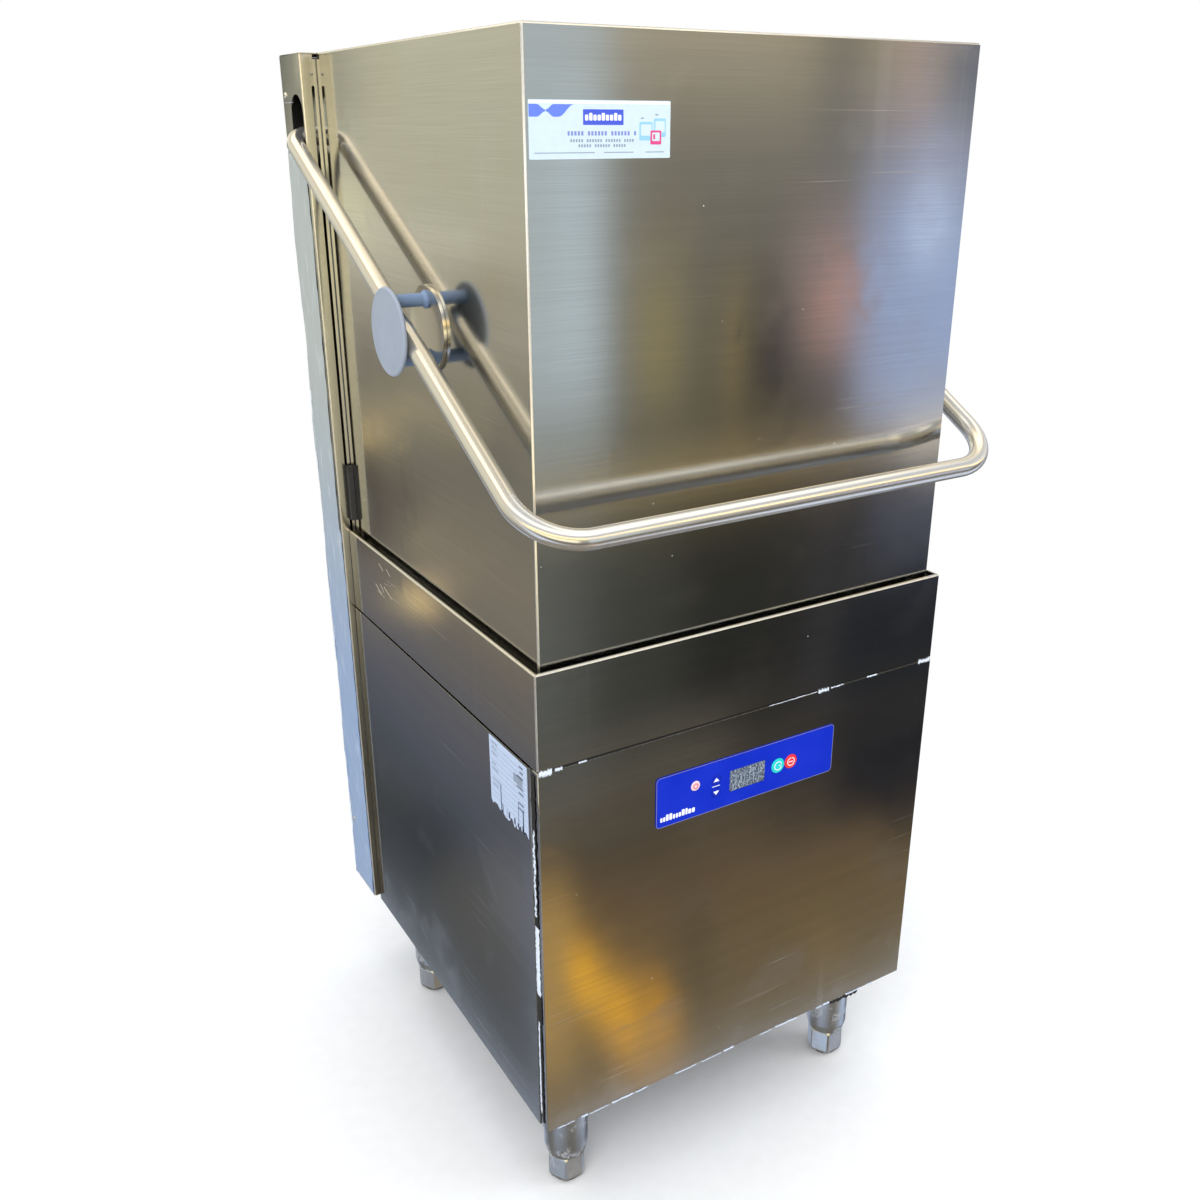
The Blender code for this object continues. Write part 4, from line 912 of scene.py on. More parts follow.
def guide(word, side):
    """The handle's guide: a dished steel base on the hood, two plastic posts, and the outer disc."""
    base_node, cap_node = "guide_base_" + word, "guide_cap_" + word
    base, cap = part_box(base_node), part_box(cap_node)
    centre = (cap[0] + cap[1]) / 2
    radius = (cap[1].y - cap[0].y) / 2
    start, face = sorted((abs(base[0].x), abs(base[1].x)))
    outer = max(abs(cap[0].x), abs(cap[1].x))
    inner = outer - 0.0055
    place, axis = (0.0, centre.y, centre.z), (side, 0, 0)
    dish = dish_profile(radius, start, face)
    lathe("guide_dish_" + word, dish, DISC_STEEL, "hood", place, axis, 72, [base_node])
    disc = disc_profile(radius, inner, outer)
    lathe("guide_disc_" + word, disc, GUIDE_PLASTIC, "hood", place, axis, 84, [cap_node])
    post = post_profile(face, inner)
    for tag, offset in (("upper", 0.0345), ("lower", -0.0345)):
        at = (0.0, centre.y, centre.z + offset)
        lathe(f"guide_post_{tag}_{word}", post, POST_PLASTIC, "hood", at, axis, 40)


# ---------------------------------------------------------------- legs
def leg(place):
    """A leg's sleeve, narrower at its lower end."""
    low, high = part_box("leg_" + place)
    centre = (low + high) / 2
    radius = (high.x - low.x) / 2
    stud = 0.0126
    sleeve = [
        (stud, low.z),
        (0.0268, low.z),
        (0.0280, low.z + 0.0012),
        (radius - 0.0004, low.z + 0.0134),
        (radius, low.z + 0.0150),
        (radius, high.z),
        (stud, high.z),
    ]
    at = (centre.x, centre.y, 0.0)
    lathe("sleeve_" + place, sleeve, LEG_METAL, "cabinet", at, replaces=["leg_" + place])


def hexagon(levels):
    """A hexagonal solid from (height, reach, chamfer) levels, with its corners chamfered."""
    shape = bmesh.new()
    rings = []
    for z, reach, chamfer in levels:
        ring = []
        for corner in range(6):
            middle = math.pi / 3 * corner
            for turn in (-0.10 * chamfer - 0.03, 0.10 * chamfer + 0.03):
                a = middle + turn
                ring.append(shape.verts.new((reach * math.cos(a), reach * math.sin(a), z)))
        rings.append(ring)
    for one, two in zip(rings, rings[1:]):
        for i in range(12):
            j = (i + 1) % 12
            shape.faces.new((one[i], one[j], two[j], two[i]))
    shape.faces.new(rings[0])
    shape.faces.new(rings[-1])
    return shape


def foot(place):
    """A levelling foot: hexagon with chamfered corners, a sole below and a threaded stud above."""
    body, slot = "foot_" + place, "leg_metal"
    low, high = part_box(body)
    centre = (low + high) / 2
    axis = (centre.x, centre.y, 0.0)
    top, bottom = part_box("leg_" + place)[0].z - GAP, 0.0050
    shape = hexagon((
        (bottom, 0.0262, 0.75),
        (bottom + 0.004, 0.0280, 0.3),
        (top - 0.003, 0.0280, 0.3),
        (top, 0.0266, 0.7),
    ))
    bmesh.ops.translate(shape, verts=shape.verts, vec=axis)
    name = "foot_hexagon_" + place
    add(name, mesh_from(name, shape, 12), FOOT_METAL, body, [body])
    sole = [(0, 0.0), (0.0205, 0.0), (0.0215, 0.0008), (0.0235, 0.0048), (0.0235, 0.0056), (0, 0.0056)]
    lathe("foot_sole_" + place, sole, BLACK_PLASTIC, body, axis, segments=40)
    thread = [(0, top - 0.001)]
    pitch = 0.0025
    for i in range(int((high.z - top - 0.004) / pitch)):
        z = top + i * pitch
        thread += [(0.0106, z), (0.0118, z + pitch / 2)]
    thread += [(0.0104, high.z - 0.002), (0, high.z - 0.001)]
    lathe("foot_thread_" + place, thread, FOOT_METAL, body, axis, segments=32)


# ---------------------------------------------------------------- control panel
FACE = FASCIA[0].y
STICKER = 0.0003  # how far a sticker stands proud of its sheet
INK = 0.00008  # how far each layer of print stands proud of the one below


def printed_shape(name, outline, surface, body, face=FACE, height=0.00022):
    """Ink or film on the front of the control panel or of a key."""
    outline_plate(name, outline, face - height, face + 0.0003, surface, body)


def fascia():
    """The control panel's film: a blue field in a thin pale border, with holes for the keys and display."""
    (left, _, low), (right, back, high) = FASCIA
    shape = bmesh.new()
    outline = rounded_box(left, right, low, high, 0.006, 8)
    top = raise_face(shape, [(x, back, z) for x, z in outline], (0, FACE - back, 0))
    soften_rim(shape, top, 0.0004)
    data = mesh_from("fascia_film", shape, 40)
    piece = add("fascia_film", data, FASCIA_BLUE, "cabinet", ["control_fascia"])
    depth = 0.02
    cutters = []
    for word in ("power", "up", "down", "start", "stop"):
        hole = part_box("key_" + word)
        centre, radius = (hole[0] + hole[1]) / 2, (hole[1].x - hole[0].x) / 2
        cutters.append(round_cutter(centre, radius + GAP, depth, math.pi / 2))
    bpy.ops.mesh.primitive_cube_add(size=1.0, location=(DISPLAY[0] + DISPLAY[1]) / 2)
    cutters.append(bpy.context.object)
    span = DISPLAY[1] - DISPLAY[0]
    cutters[-1].scale = (span.x + 2 * GAP, depth, span.z + 2 * GAP)
    cut_out(piece, cutters)
    inset, border = 0.0005, 0.0007
    reach = inset + border
    outer = rounded_box(left + inset, right - inset, low + inset, high - inset, 0.0055, 8)
    inner = rounded_box(left + reach, right - reach, low + reach, high - reach, 0.0048, 8)
    near, far = FACE - 0.00012, FACE + 0.0003
    ring_plate("fascia_border", outer, inner, near, far, INK_LILAC, "cabinet")


def ring_plate(name, outer, inner, near, far, surface, body):
    """A flat frame between two outlines with the same number of points, on the front."""
    shape = bmesh.new()
    loops = []
    for outline, depth in ((outer, near), (inner, near), (inner, far), (outer, far)):
        loops.append([shape.verts.new((x, depth, z)) for x, z in outline])
    count = len(outer)
    for one, two in zip(loops, loops[1:] + loops[:1]):
        for i in range(count):
            j = (i + 1) % count
            shape.faces.new((one[i], one[j], two[j], two[i]))
    return add(name, mesh_from(name, shape, 30), surface, body)


def key(word, surface, slot):
    """A domed key under film, turned about its own axis."""
    low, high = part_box("key_" + word)
    radius = (high.x - low.x) / 2
    centre = (low + high) / 2
    place = (centre.x, high.y, centre.z)
    rise = high.y - low.y
    dome = [
        (0, 0),
        (radius, 0),
        (radius, rise - 0.0009),
        (radius - 0.0004, rise - 0.0004),
        (radius * 0.86, rise - 0.0001),
        (radius * 0.4, rise),
        (0, rise),
    ]
    lathe("key_film_" + word, dome, surface, "key_" + word, place, (0, -1, 0), 56, ["key_" + word])
    return centre, low.y, radius


def stroke(name, across, up, radius, surface, body, face):
    """A printed bar with round ends, from its extent across and up."""
    printed_shape(name, rounded_box(*across, *up, radius, 3), surface, body, face)


def keys():
    """The five keys with their printed signs."""
    at, face, radius = key("power", KEY_PALE, "key_white")
    ring = arc_band(at.x, at.z, radius * 0.40, radius * 0.56, 120, 420)
    printed_shape("power_ring", ring, INK_RED, "key_power", face)
    across, up = (at.x - 0.00045, at.x + 0.00045), (at.z + 0.0008, at.z + 0.0046)
    stroke("power_stroke", across, up, 0.0003, INK_RED, "key_power", face)
    for word, way in (("up", 1), ("down", -1)):
        at, face, radius = key(word, KEY_BLUE, "key_blue")
        base = at.z - way * 0.0020
        triangle = [(at.x - 0.0046, base), (at.x + 0.0046, base), (at.x, at.z + way * 0.0034)]
        printed_shape("arrow_" + word, triangle, INK_WHITE, "key_" + word, face)
    up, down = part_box("key_up"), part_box("key_down")
    z = (up[0].z + down[1].z) / 2
    x = (up[0].x + up[1].x) / 2
    across, up = (x - 0.0060, x + 0.0060), (z - 0.0005, z + 0.0005)
    stroke("arrow_line", across, up, 0.0004, INK_WHITE, "cabinet", FACE)
    signs = (
        ("start", KEY_GREEN, "key_green", (20, 340), (0.001, 0.0052), 0.0005, 0.0004),
        ("stop", KEY_RED, "key_red", (95, 445), (-0.0036, 0.0036), 0.0006, 0.0005),
    )
    for word, surface, slot, (start, end), (near, far), half, rounding in signs:
        at, face, radius = key(word, surface, slot)
        ring = arc_band(at.x, at.z, radius * 0.50, radius * 0.60, start, end)
        printed_shape(word + "_ring", ring, INK_WHITE, "key_" + word, face)
        across, up = (at.x + near, at.x + far), (at.z - half, at.z + half)
        stroke(word + "_stroke", across, up, rounding, INK_WHITE, "key_" + word, face)


def display():
    """The display window: a recessed pane with four dim figures behind it."""
    low, high = DISPLAY
    face = FACE + 0.0002
    pane = rounded_box(low.x, high.x, low.z, high.z, 0.0012, 4)
    body, slot = "cabinet", "display_grey"
    outline_plate("display_pane", pane, face, high.y, DISPLAY_GREY, body, replaces=["display_window"])
    width = (high.x - low.x) / 4
    margin, line = 0.0075, 0.0011
    bottom, top = low.z + margin, high.z - margin
    middle = (bottom + top) / 2
    for i in range(4):
        left = low.x + (i + 0.22) * width
        right = left + 0.52 * width
        bars = [
            (left, right, top - line, top),
            (left, right, bottom, bottom + line),
            (left, right, middle - line / 2, middle + line / 2),
            (left, left + line, bottom, top),
            (right - line, right, bottom, top),
        ]
        for k, bar in enumerate(bars):
            if (i + k) % 4 != 3:
                outline = rounded_box(*bar, 0.0003, 2)
                printed_shape(f"figure_{i}_{k}", outline, INK_GREY, body, face, INK)


def control_marks():
    """Plain bars in place of the maker's word on the control panel."""
    left, low = FASCIA[0].x + 0.0068, FASCIA[0].z + 0.0085
    dice = random.Random(31)
    for i in range(11):
        width = dice.uniform(0.0042, 0.0062)
        height = 0.0092 if i in (2, 3, 7, 8) else 0.0066
        outline = rounded_box(left, left + width - 0.0011, low, low + height, 0.0013, 4)
        printed_shape(f"panel_mark_{i}", outline, INK_WHITE, "cabinet")
        left += width


# ---------------------------------------------------------------- labels and what is left of the film


class Sticker:
    """The glossy sticker at the hood's upper left corner. Marks are placed by their share of its sides."""

    left, right, low, high = -HALF_HOOD + 0.0052, -0.1350, 1.3905, 1.4445
    face = HOOD[0].y

    def at(self, across, down):
        return self.left + across * (self.right - self.left), self.high - down * (self.high - self.low)

    def mark(self, name, outline, surface, level):
        near = self.face - STICKER - INK * level
        outline_plate("label_" + name, outline, near, self.face - 0.0002, surface, "hood")

    def box(self, name, across, down, radius, surface, level):
        (a, d), (b, c) = self.at(across[0], down[0]), self.at(across[1], down[1])
        self.mark(name, rounded_box(a, b, c, d, radius, 3), surface, level)

    def sheet(self):
        outline = rounded_box(self.left, self.right, self.low, self.high, 0.0012, 4)
        near, far = self.face - STICKER, self.face + 0.0002
        outline_plate("label_sheet", outline, near, far, LABEL_WHITE, "hood")
        self.box("top", (0.004, 0.996), (0.012, 0.062), 0.0006, INK_WHITE, 1)

    def ribbon(self):
        """Two blue lobes with a narrow waist between them."""
        high_edge, low_edge, waist = 0.075, 0.285, 0.16
        middle, half = (high_edge + low_edge) / 2, (low_edge - high_edge) / 2
        narrow, flare = waist * half, half - waist * half
        steps = 12
        swell = [(1 - math.cos(math.pi * i / steps)) / 2 for i in range(steps + 1)]

        def curve(start, run, depth_at):
            return [self.at(start + run * i / steps, depth_at(s)) for i, s in enumerate(swell)]

        near = curve(0.055, 0.058, lambda s: middle - half + flare * s)
        below = curve(0.055, 0.058, lambda s: middle + half - flare * s)
        left = [self.at(0.003, high_edge), *near, *reversed(below), self.at(0.003, low_edge)]
        self.mark("ribbon_left", left, INK_RIBBON, 1)
        rise = curve(0.117, 0.055, lambda s: middle - narrow - flare * s)
        fall = curve(0.117, 0.055, lambda s: middle + narrow + flare * s)
        tail = curve(0.310, -0.110, lambda s: high_edge + 2 * half * s)
        self.mark("ribbon_right", [*rise, *tail, *reversed(fall)], INK_RIBBON, 1)

    def words(self):
        """A blue block and rows of plain bars in place of words."""
        self.box("block", (0.370, 0.655), (0.155, 0.420), 0.0005, INK_BLUE, 1)
        for i in range(9):
            start = 0.383 + 0.0292 * i
            top = 0.215 if i % 3 == 1 else 0.245
            self.box(f"block_mark_{i}", (start, start + 0.0225), (top, 0.345), 0.0009, INK_WHITE, 2)
        rows = (
            (0.262, 0.760, 0.525, 0.600, 0.0235, INK_VIOLET),
            (0.280, 0.742, 0.660, 0.712, 0.0190, INK_GREY),
            (0.336, 0.690, 0.748, 0.800, 0.0190, INK_GREY),
        )
        for i, (start, end, top, bottom, letter, surface) in enumerate(rows):
            for k in range(int((end - start) / letter)):
                if k % 7 != 5:
                    x = start + k * letter
                    self.box(f"row_{i}_{k}", (x, x + letter * 0.62), (top, bottom), 0.0004, surface, 1)
        for i, across in enumerate(((0.035, 0.450), (0.515, 0.730), (0.815, 0.955))):
            self.box(f"foot_{i}", across, (0.884, 0.900), 0.0003, INK_GREY, 1)

    def pictures(self):
        """Two pale containers with caps, and a pink one in front of them."""
        bottles = (("left", (0.770, 0.868), (0.365, 0.690)), ("right", (0.876, 0.966), (0.305, 0.630)))
        for word, across, down in bottles:
            self.box("bottle_" + word, across, down, 0.0016, INK_SKY, 1)
            inner = (across[0] + 0.012, across[1] - 0.008)
            face = (down[0] + 0.045, down[1] - 0.085)
            self.box("bottle_face_" + word, inner, face, 0.0008, LABEL_WHITE, 2)
            cap = (across[0] + 0.010, across[0] + 0.034)
            self.box("bottle_cap_" + word, cap, (down[0] - 0.075, down[0] - 0.052), 0.0004, INK_GREY, 1)
        self.box("box", (0.852, 0.932), (0.515, 0.760), 0.0012, INK_PINK, 3)
        self.box("box_face", (0.864, 0.920), (0.550, 0.700), 0.0007, LABEL_WHITE, 4)
        self.box("box_line", (0.872, 0.886), (0.580, 0.670), 0.0003, INK_PINK, 5)


def front_label():
    """The sticker, with plain marks in place of words and pictures."""
    sticker = Sticker()
    sticker.sheet()
    sticker.ribbon()
    sticker.words()
    sticker.pictures()


def rating_plate():
    """The pale plate high on the left side panel: ruled lines, and slits torn from its lower edge."""
    face = min(corner.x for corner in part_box("side_panel_left"))
    front, rear, low, high = FRONT + 0.024, FRONT + 0.126, 0.617, 0.719
    body, slot = "cabinet", "brushed_steel"
    dice = random.Random(5)
    outline = [(rear, low + 0.010), (rear, high), (front, high), (front, low + 0.004)]
    y = front
    while y < rear - 0.006:
        step = dice.uniform(0.004, 0.009)
        outline.append((y + step * 0.5, low + dice.uniform(0.000, 0.010)))
        outline.append((y + step, low + dice.uniform(0.002, 0.012)))
        y += step
    outline_plate("plate_sheet", outline, face - 0.0004, face + 0.0002, PLATE_WHITE, body, "side")

    def mark(name, a, b, c, d, surface, level=1):
        outline = rounded_box(a, b, c, d, 0.0003, 2)
        top = face - 0.0004 - INK * level
        outline_plate("plate_" + name, outline, top, face - 0.0003, surface, body, "side")

    for i in range(11):
        z = high - 0.010 - 0.0074 * i
        mark(f"rule_{i}", front + 0.004, rear - 0.004, z, z + 0.0004, INK_GREY)
        if i in (0, 1, 2, 4, 5, 7, 8):
            length = dice.uniform(0.012, 0.030)
            end, start = rear - 0.006, front + 0.010
            mark(f"words_{i}", end - length, end, z + 0.0022, z + 0.0042, INK_GREY)
            mark(f"value_{i}", start, start + dice.uniform(0.008, 0.022), z + 0.0022, z + 0.0042, INK_DARK)
    mark("block", front + 0.012, front + 0.036, high - 0.034, high - 0.022, INK_GREY)
    for i in range(6):
        y = front + dice.uniform(0.010, 0.092)
        tall = dice.uniform(0.012, 0.040)
        mark(f"slit_{i}", y, y + dice.uniform(0.0006, 0.0022), low + 0.004, low + 0.004 + tall, INK_DARK, 2)
    for i in range(4):
        y = front + dice.uniform(0.006, 0.060)
        mark(f"tear_{i}", y, y + 0.004, low + 0.006, low + 0.010 + dice.uniform(0.0, 0.006), INK_DARK, 2)


def front_flake(name, low, high, left, right, ragged, seed, steps):
    """A white shred lying level on the cabinet's front."""
    shred(
        name, low, high, left, right, ragged, WHITE_SHRED,
        "front", FRONT - 0.0004, seed, steps, across=True,
    )


def seam_flakes():
    """The dark seam between the rim band and the front panel, and white flakes of film caught in it."""
    seam = (RIM[0].z + FRONT_PANEL[1].z) / 2
    half, end = 0.0008, HALF_CABINET - 0.004
    grime = rounded_box(-end, end, seam - half, seam + half, 0.0004, 3)
    outline_plate("seam_grime", grime, FRONT - 0.00005, FRONT + 0.003, BLACK_SEAL, "cabinet")
    pieces = (
        ("corner", -0.3135, -0.2960, 0.0090, 0.0030),
        ("left", -0.2920, -0.2820, 0.0050, 0.0016),
        ("inner", -0.2600, -0.2490, 0.0026, 0.0008),
        ("thread", 0.0250, 0.1060, 0.0011, 0.0006),
        ("tuft", 0.1080, 0.1260, 0.0058, 0.0034),
        ("tail", 0.1300, 0.1520, 0.0024, 0.0012),
        ("speck", 0.1940, 0.2120, 0.0024, 0.0008),
        ("end", 0.2900, 0.3120, 0.0068, 0.0030),
    )
    for i, (name, left, right, thick, ragged) in enumerate(pieces):
        low, high = seam - thick * 0.62, seam + thick * 0.38
        front_flake("seam_flake_" + name, low, high, left, right, ragged, 40 + i, 26)


def lower_flakes():
    """White film left along the front panel's lower edge, and a black torn piece near the right leg."""
    low = FRONT_PANEL[0].z
    dice = random.Random(9)
    reach = 0.300
    x = -reach
    count = 0
    while x < reach:
        width = dice.uniform(0.010, 0.045)
        if dice.random() < 0.62:
            top = low + dice.uniform(0.0012, 0.0034)
            front_flake(f"lower_flake_{count}", low - 0.0006, top, x, x + width, 0.0012, 70 + count, 16)
        x += width + dice.uniform(0.002, 0.012)
        count += 1
    shred(
        "lower_black", low - 0.0070, low + 0.0008, 0.176, 0.232, 0.0040, BLACK_SEAL,
        "front", FRONT + 0.0010, 99, 24, across=True,
    )


def corner_shreds():
    """Torn black seal and white film at the front corners, between the front and the side panels."""
    face = HALF_CABINET + 0.0004
    rows = (
        ("seal_upper", 0.0060, 0.0165, 0.500, 0.716, 0.0034, BLACK_SEAL, 21),
        ("white_upper", 0.0090, 0.0150, 0.515, 0.640, 0.0036, WHITE_SHRED, 22),
        ("white_middle", 0.0050, 0.0160, 0.396, 0.500, 0.0022, WHITE_SHRED, 23),
        ("seal_middle", 0.0040, 0.0165, 0.352, 0.398, 0.0018, BLACK_SEAL, 24),
        ("white_lower", 0.0110, 0.0150, 0.200, 0.352, 0.0014, WHITE_SHRED, 25),
        ("seal_lower", 0.0060, 0.0120, 0.186, 0.352, 0.0016, BLACK_SEAL, 26),
    )
    for name, near, far, low, high, ragged, surface, seed in rows:
        for word, side in SIDES:
            if side == RIGHT and name in ("white_upper", "white_lower"):
                continue
            depth = side * (face + (0.0003 if "white" in name else 0.0))
            draw = seed + (50 if side == RIGHT else 0)
            shred(
                f"{name}_{word}", FRONT + near, FRONT + far, low, high, ragged, surface,
                "side", depth, draw, 48,
            )


def rim_scratches():
    """Bright rubbed scratches on the rim's left side, where dish racks and tables have scraped it."""
    dice = random.Random(17)
    face = -HALF_CABINET - 0.0001
    for i in range(9):
        y = FRONT + 0.40 + 0.05 * dice.random() + 0.006 * i
        z = 0.775 + 0.05 * dice.random()
        length, rise = dice.uniform(0.012, 0.034), dice.uniform(-0.006, 0.010)
        line = [(y, z), (y + length, z + rise), (y + length * 0.98, z + rise + 0.0006), (y, z + 0.0005)]
        near, far = face - 0.00012, face + 0.0002
        outline_plate(f"rim_scratch_{i}", line, near, far, POLISH_AND_HIGHLIGHT_STEEL, "cabinet", "side")


# ---------------------------------------------------------------- inside the hood
ARMS = ("lower_wash_arm", "lower_rinse_arm", "upper_wash_arm", "upper_rinse_arm")


def arm_blade(node, place, half, width, thick, hub):
    """The arm's blade, with round ends and soft edges, cut away where the hub goes through."""
    steps = 12
    turns = [math.pi / 2 - math.pi * i / steps for i in range(steps + 1)]
    tip = [(half - width + width * math.cos(t), width * math.sin(t)) for t in turns]
    outline = tip + [(-x, -y) for x, y in tip]
    blade_low, blade_high = 0.0008, thick - 0.0016
    shape = bmesh.new()
    raise_face(shape, [(x, y, blade_low) for x, y in outline], (0, 0, blade_high - blade_low))
    edges = [e for e in shape.edges if abs(e.verts[0].co.z - e.verts[1].co.z) < 1e-6]
    bmesh.ops.bevel(shape, geom=edges, offset=thick * 0.22, segments=3, affect="EDGES")
    bmesh.ops.translate(shape, verts=shape.verts, vec=place)
    name = node + "_blade"
    piece = add(name, mesh_from(name, shape, 40), INNER_STEEL, node, [node])
    cut_out(piece, [round_cutter(place, hub - 0.0035, 0.06)])
    return blade_low, blade_high


def spray_arm(node, jets):
    """A spray arm: a blade through a round hub, with a row of jets above (jets 1) or below (jets -1)."""
    low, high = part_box(node)
    centre = (low + high) / 2
    half, hub = (high.x - low.x) / 2, (high.y - low.y) / 2
    width = hub - 0.011
    thick = high.z - low.z
    place = (centre.x, centre.y, low.z)
    blade_low, blade_high = arm_blade(node, place, half, width, thick, hub)
    ring = [
        (0.0108, 0.0002),
        (hub - 0.0014, 0.0002),
        (hub, 0.0016),
        (hub, thick * 0.55),
        (hub - 0.0016, thick - 0.0014),
        (hub - 0.0060, thick),
        (0.0108, thick),
    ]
    lathe(node + "_hub", ring, INNER_STEEL, node, place)
    face = blade_high if jets > 0 else blade_low
    radius = min(0.0062, width * 0.5)
    nozzle = [
        (radius * 0.35, -0.0003),
        (radius, -0.0003),
        (radius * 0.9, 0.0007),
        (radius * 0.5, 0.0009),
        (radius * 0.35, 0.0004),
    ]
    for i in range(5):
        for word, side in SIDES:
            x = side * (hub + 0.022 + i * (half - hub - 0.040) / 4)
            at = (x, centre.y, low.z + face)
            lathe(f"{node}_jet_{word}_{i}", nozzle, INNER_STEEL, node, at, (0, 0, jets), 20)


def springs():
    """Balance springs, shown by smooth coils of one fixed length; the real ones shorten as the hood goes up.
    """
    for word in ("left", "right"):
        node = "balance_spring_" + word
        low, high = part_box(node)
        centre = (low + high) / 2
        turns, per_turn = 58, 14
        coil = (high.x - low.x) / 2 - 0.0020
        first, last = low.z + 0.10, high.z - 0.10
        points = [(centre.x, centre.y, low.z), (centre.x, centre.y, first - 0.008)]
        count = turns * per_turn
        for i in range(count + 1):
            angle = 2 * math.pi * i / per_turn
            x, y = centre.x + coil * math.cos(angle), centre.y + coil * math.sin(angle)
            points.append((x, y, first + (last - first) * i / count))
        points += [(centre.x, centre.y, last + 0.008), (centre.x, centre.y, high.z)]
        wire = 0.0019
        name = "spring_" + word
        coil_piece = pipe(name, points, wire, SPRING_STEEL, "cabinet", [node], 8)
        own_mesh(coil_piece)


def back_details():
    """Rivets up both edges of the column's back."""
    low, high = COLUMN
    head = [(0, -0.0006), (0.0034, -0.0006), (0.0034, 0.0002), (0.0022, 0.0010), (0, 0.0012)]
    margin, count = 0.08, 6
    for word, side in SIDES:
        for i in range(count):
            z = low.z + margin + i * (high.z - low.z - 2 * margin) / (count - 1)
            place = (side * (HALF_COLUMN - 0.012), high.y - 0.0002, z)
            lathe(f"back_rivet_{word}_{i}", head, POLISH_AND_HIGHLIGHT_STEEL, "cabinet", place, (0, 1, 0), 24)


PAINT = (
    (FRAME_STEEL, ("base_frame", "spring_anchor", "cross_shaft")),
    (FRAME_STEEL, ("balance_lever_left", "balance_lever_right")),
    (INNER_STEEL, ("wash_tank", "rack_frame", "lower_spindle", "upper_spindle")),
    (INNER_STEEL, ("boiler", "chamber_back_panel")),
    (STRAINER_STEEL, ("strainer_left", "strainer_right")),
    (TUBE_STEEL, ("riser_pipe",)),
    (SPRING_STEEL, ("tank_heater",)),
    (RAIL_STEEL, ("guide_rail_left", "guide_rail_right")),
    (MOTOR_PAINT, ("wash_pump",)),
    (RUBBER, ("pump_hose",)),
    (GLIDE_PLASTIC, ("overflow_pipe", "shaft_bearing_left", "shaft_bearing_right")),
    (BLACK_PLASTIC, ("drain_fitting", "inlet_valve", "control_housing")),
    (BLACK_PLASTIC, ("hood_carriage_left", "hood_carriage_right")),
)


def paint_cad():
    """CAD nodes that stay shown get a real surface in each of their material slots."""
    for surface, nodes in PAINT:
        for node in nodes:
            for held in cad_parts[node].material_slots:
                held.material = surface


# ---------------------------------------------------------------- studio
class Room(Shader):
    """The surroundings that the steel mirrors, laid out on the plane of the face that mirrors them."""

    def on_plane(self, parts, out, along, depth, start):
        """Where a direction from the camera's mirror image meets the plane of a face: along it and up."""
        toward = self.math("MAXIMUM", self.times(parts[out], -1.0), 0.02)
        run = self.plus(self.times(self.math("DIVIDE", parts[along], toward), depth), start)
        rise = self.plus(self.times(self.math("DIVIDE", parts["Z"], toward), depth), CAMERA_PLACE.z)
        return run, rise

    def light(self, colour, strength):
        return self.node("ShaderNodeBackground", {"Color": colour, "Strength": strength}).outputs[0]

    def choose(self, ray, other, chosen):
        """The chosen light for one kind of ray, and the other one for the rest."""
        return self.node("ShaderNodeMixShader", {0: ray, 1: other, 2: chosen}).outputs[0]

    def patch(self, colour, across, up, span, rise, soft, tint, strength):
        """A rectangle of another colour with soft edges."""
        edges = (
            self.ramp(across, span[0] - soft[0], span[0] + soft[0]),
            self.ramp(across, span[1] + soft[0], span[1] - soft[0]),
            self.ramp(up, rise[0] - soft[1], rise[0] + soft[1]),
            self.ramp(up, rise[1] + soft[1], rise[1] - soft[1]),
        )
        mask = strength
        for edge in edges:
            mask = self.times(mask, edge)
        return self.mix(mask, colour, rgb(seen(*tint)))

    def bands(self, up, low, high, stops):
        """Colours that follow one another with height, from low to high."""
        scale = {"Value": up, "From Min": low, "From Max": high}
        at = self.node("ShaderNodeMapRange", scale, clamp=False).outputs["Result"]
        return self.colours(at, [((z - low) / (high - low), seen(*tint)) for z, tint in stops])


ALBEDO = 0.56


def seen(red, green, blue):
    """The light a steel face has to mirror so that it looks this colour (each part out of 255)."""
    return [(channel / 255) ** 2.2 / ALBEDO for channel in (red, green, blue)]


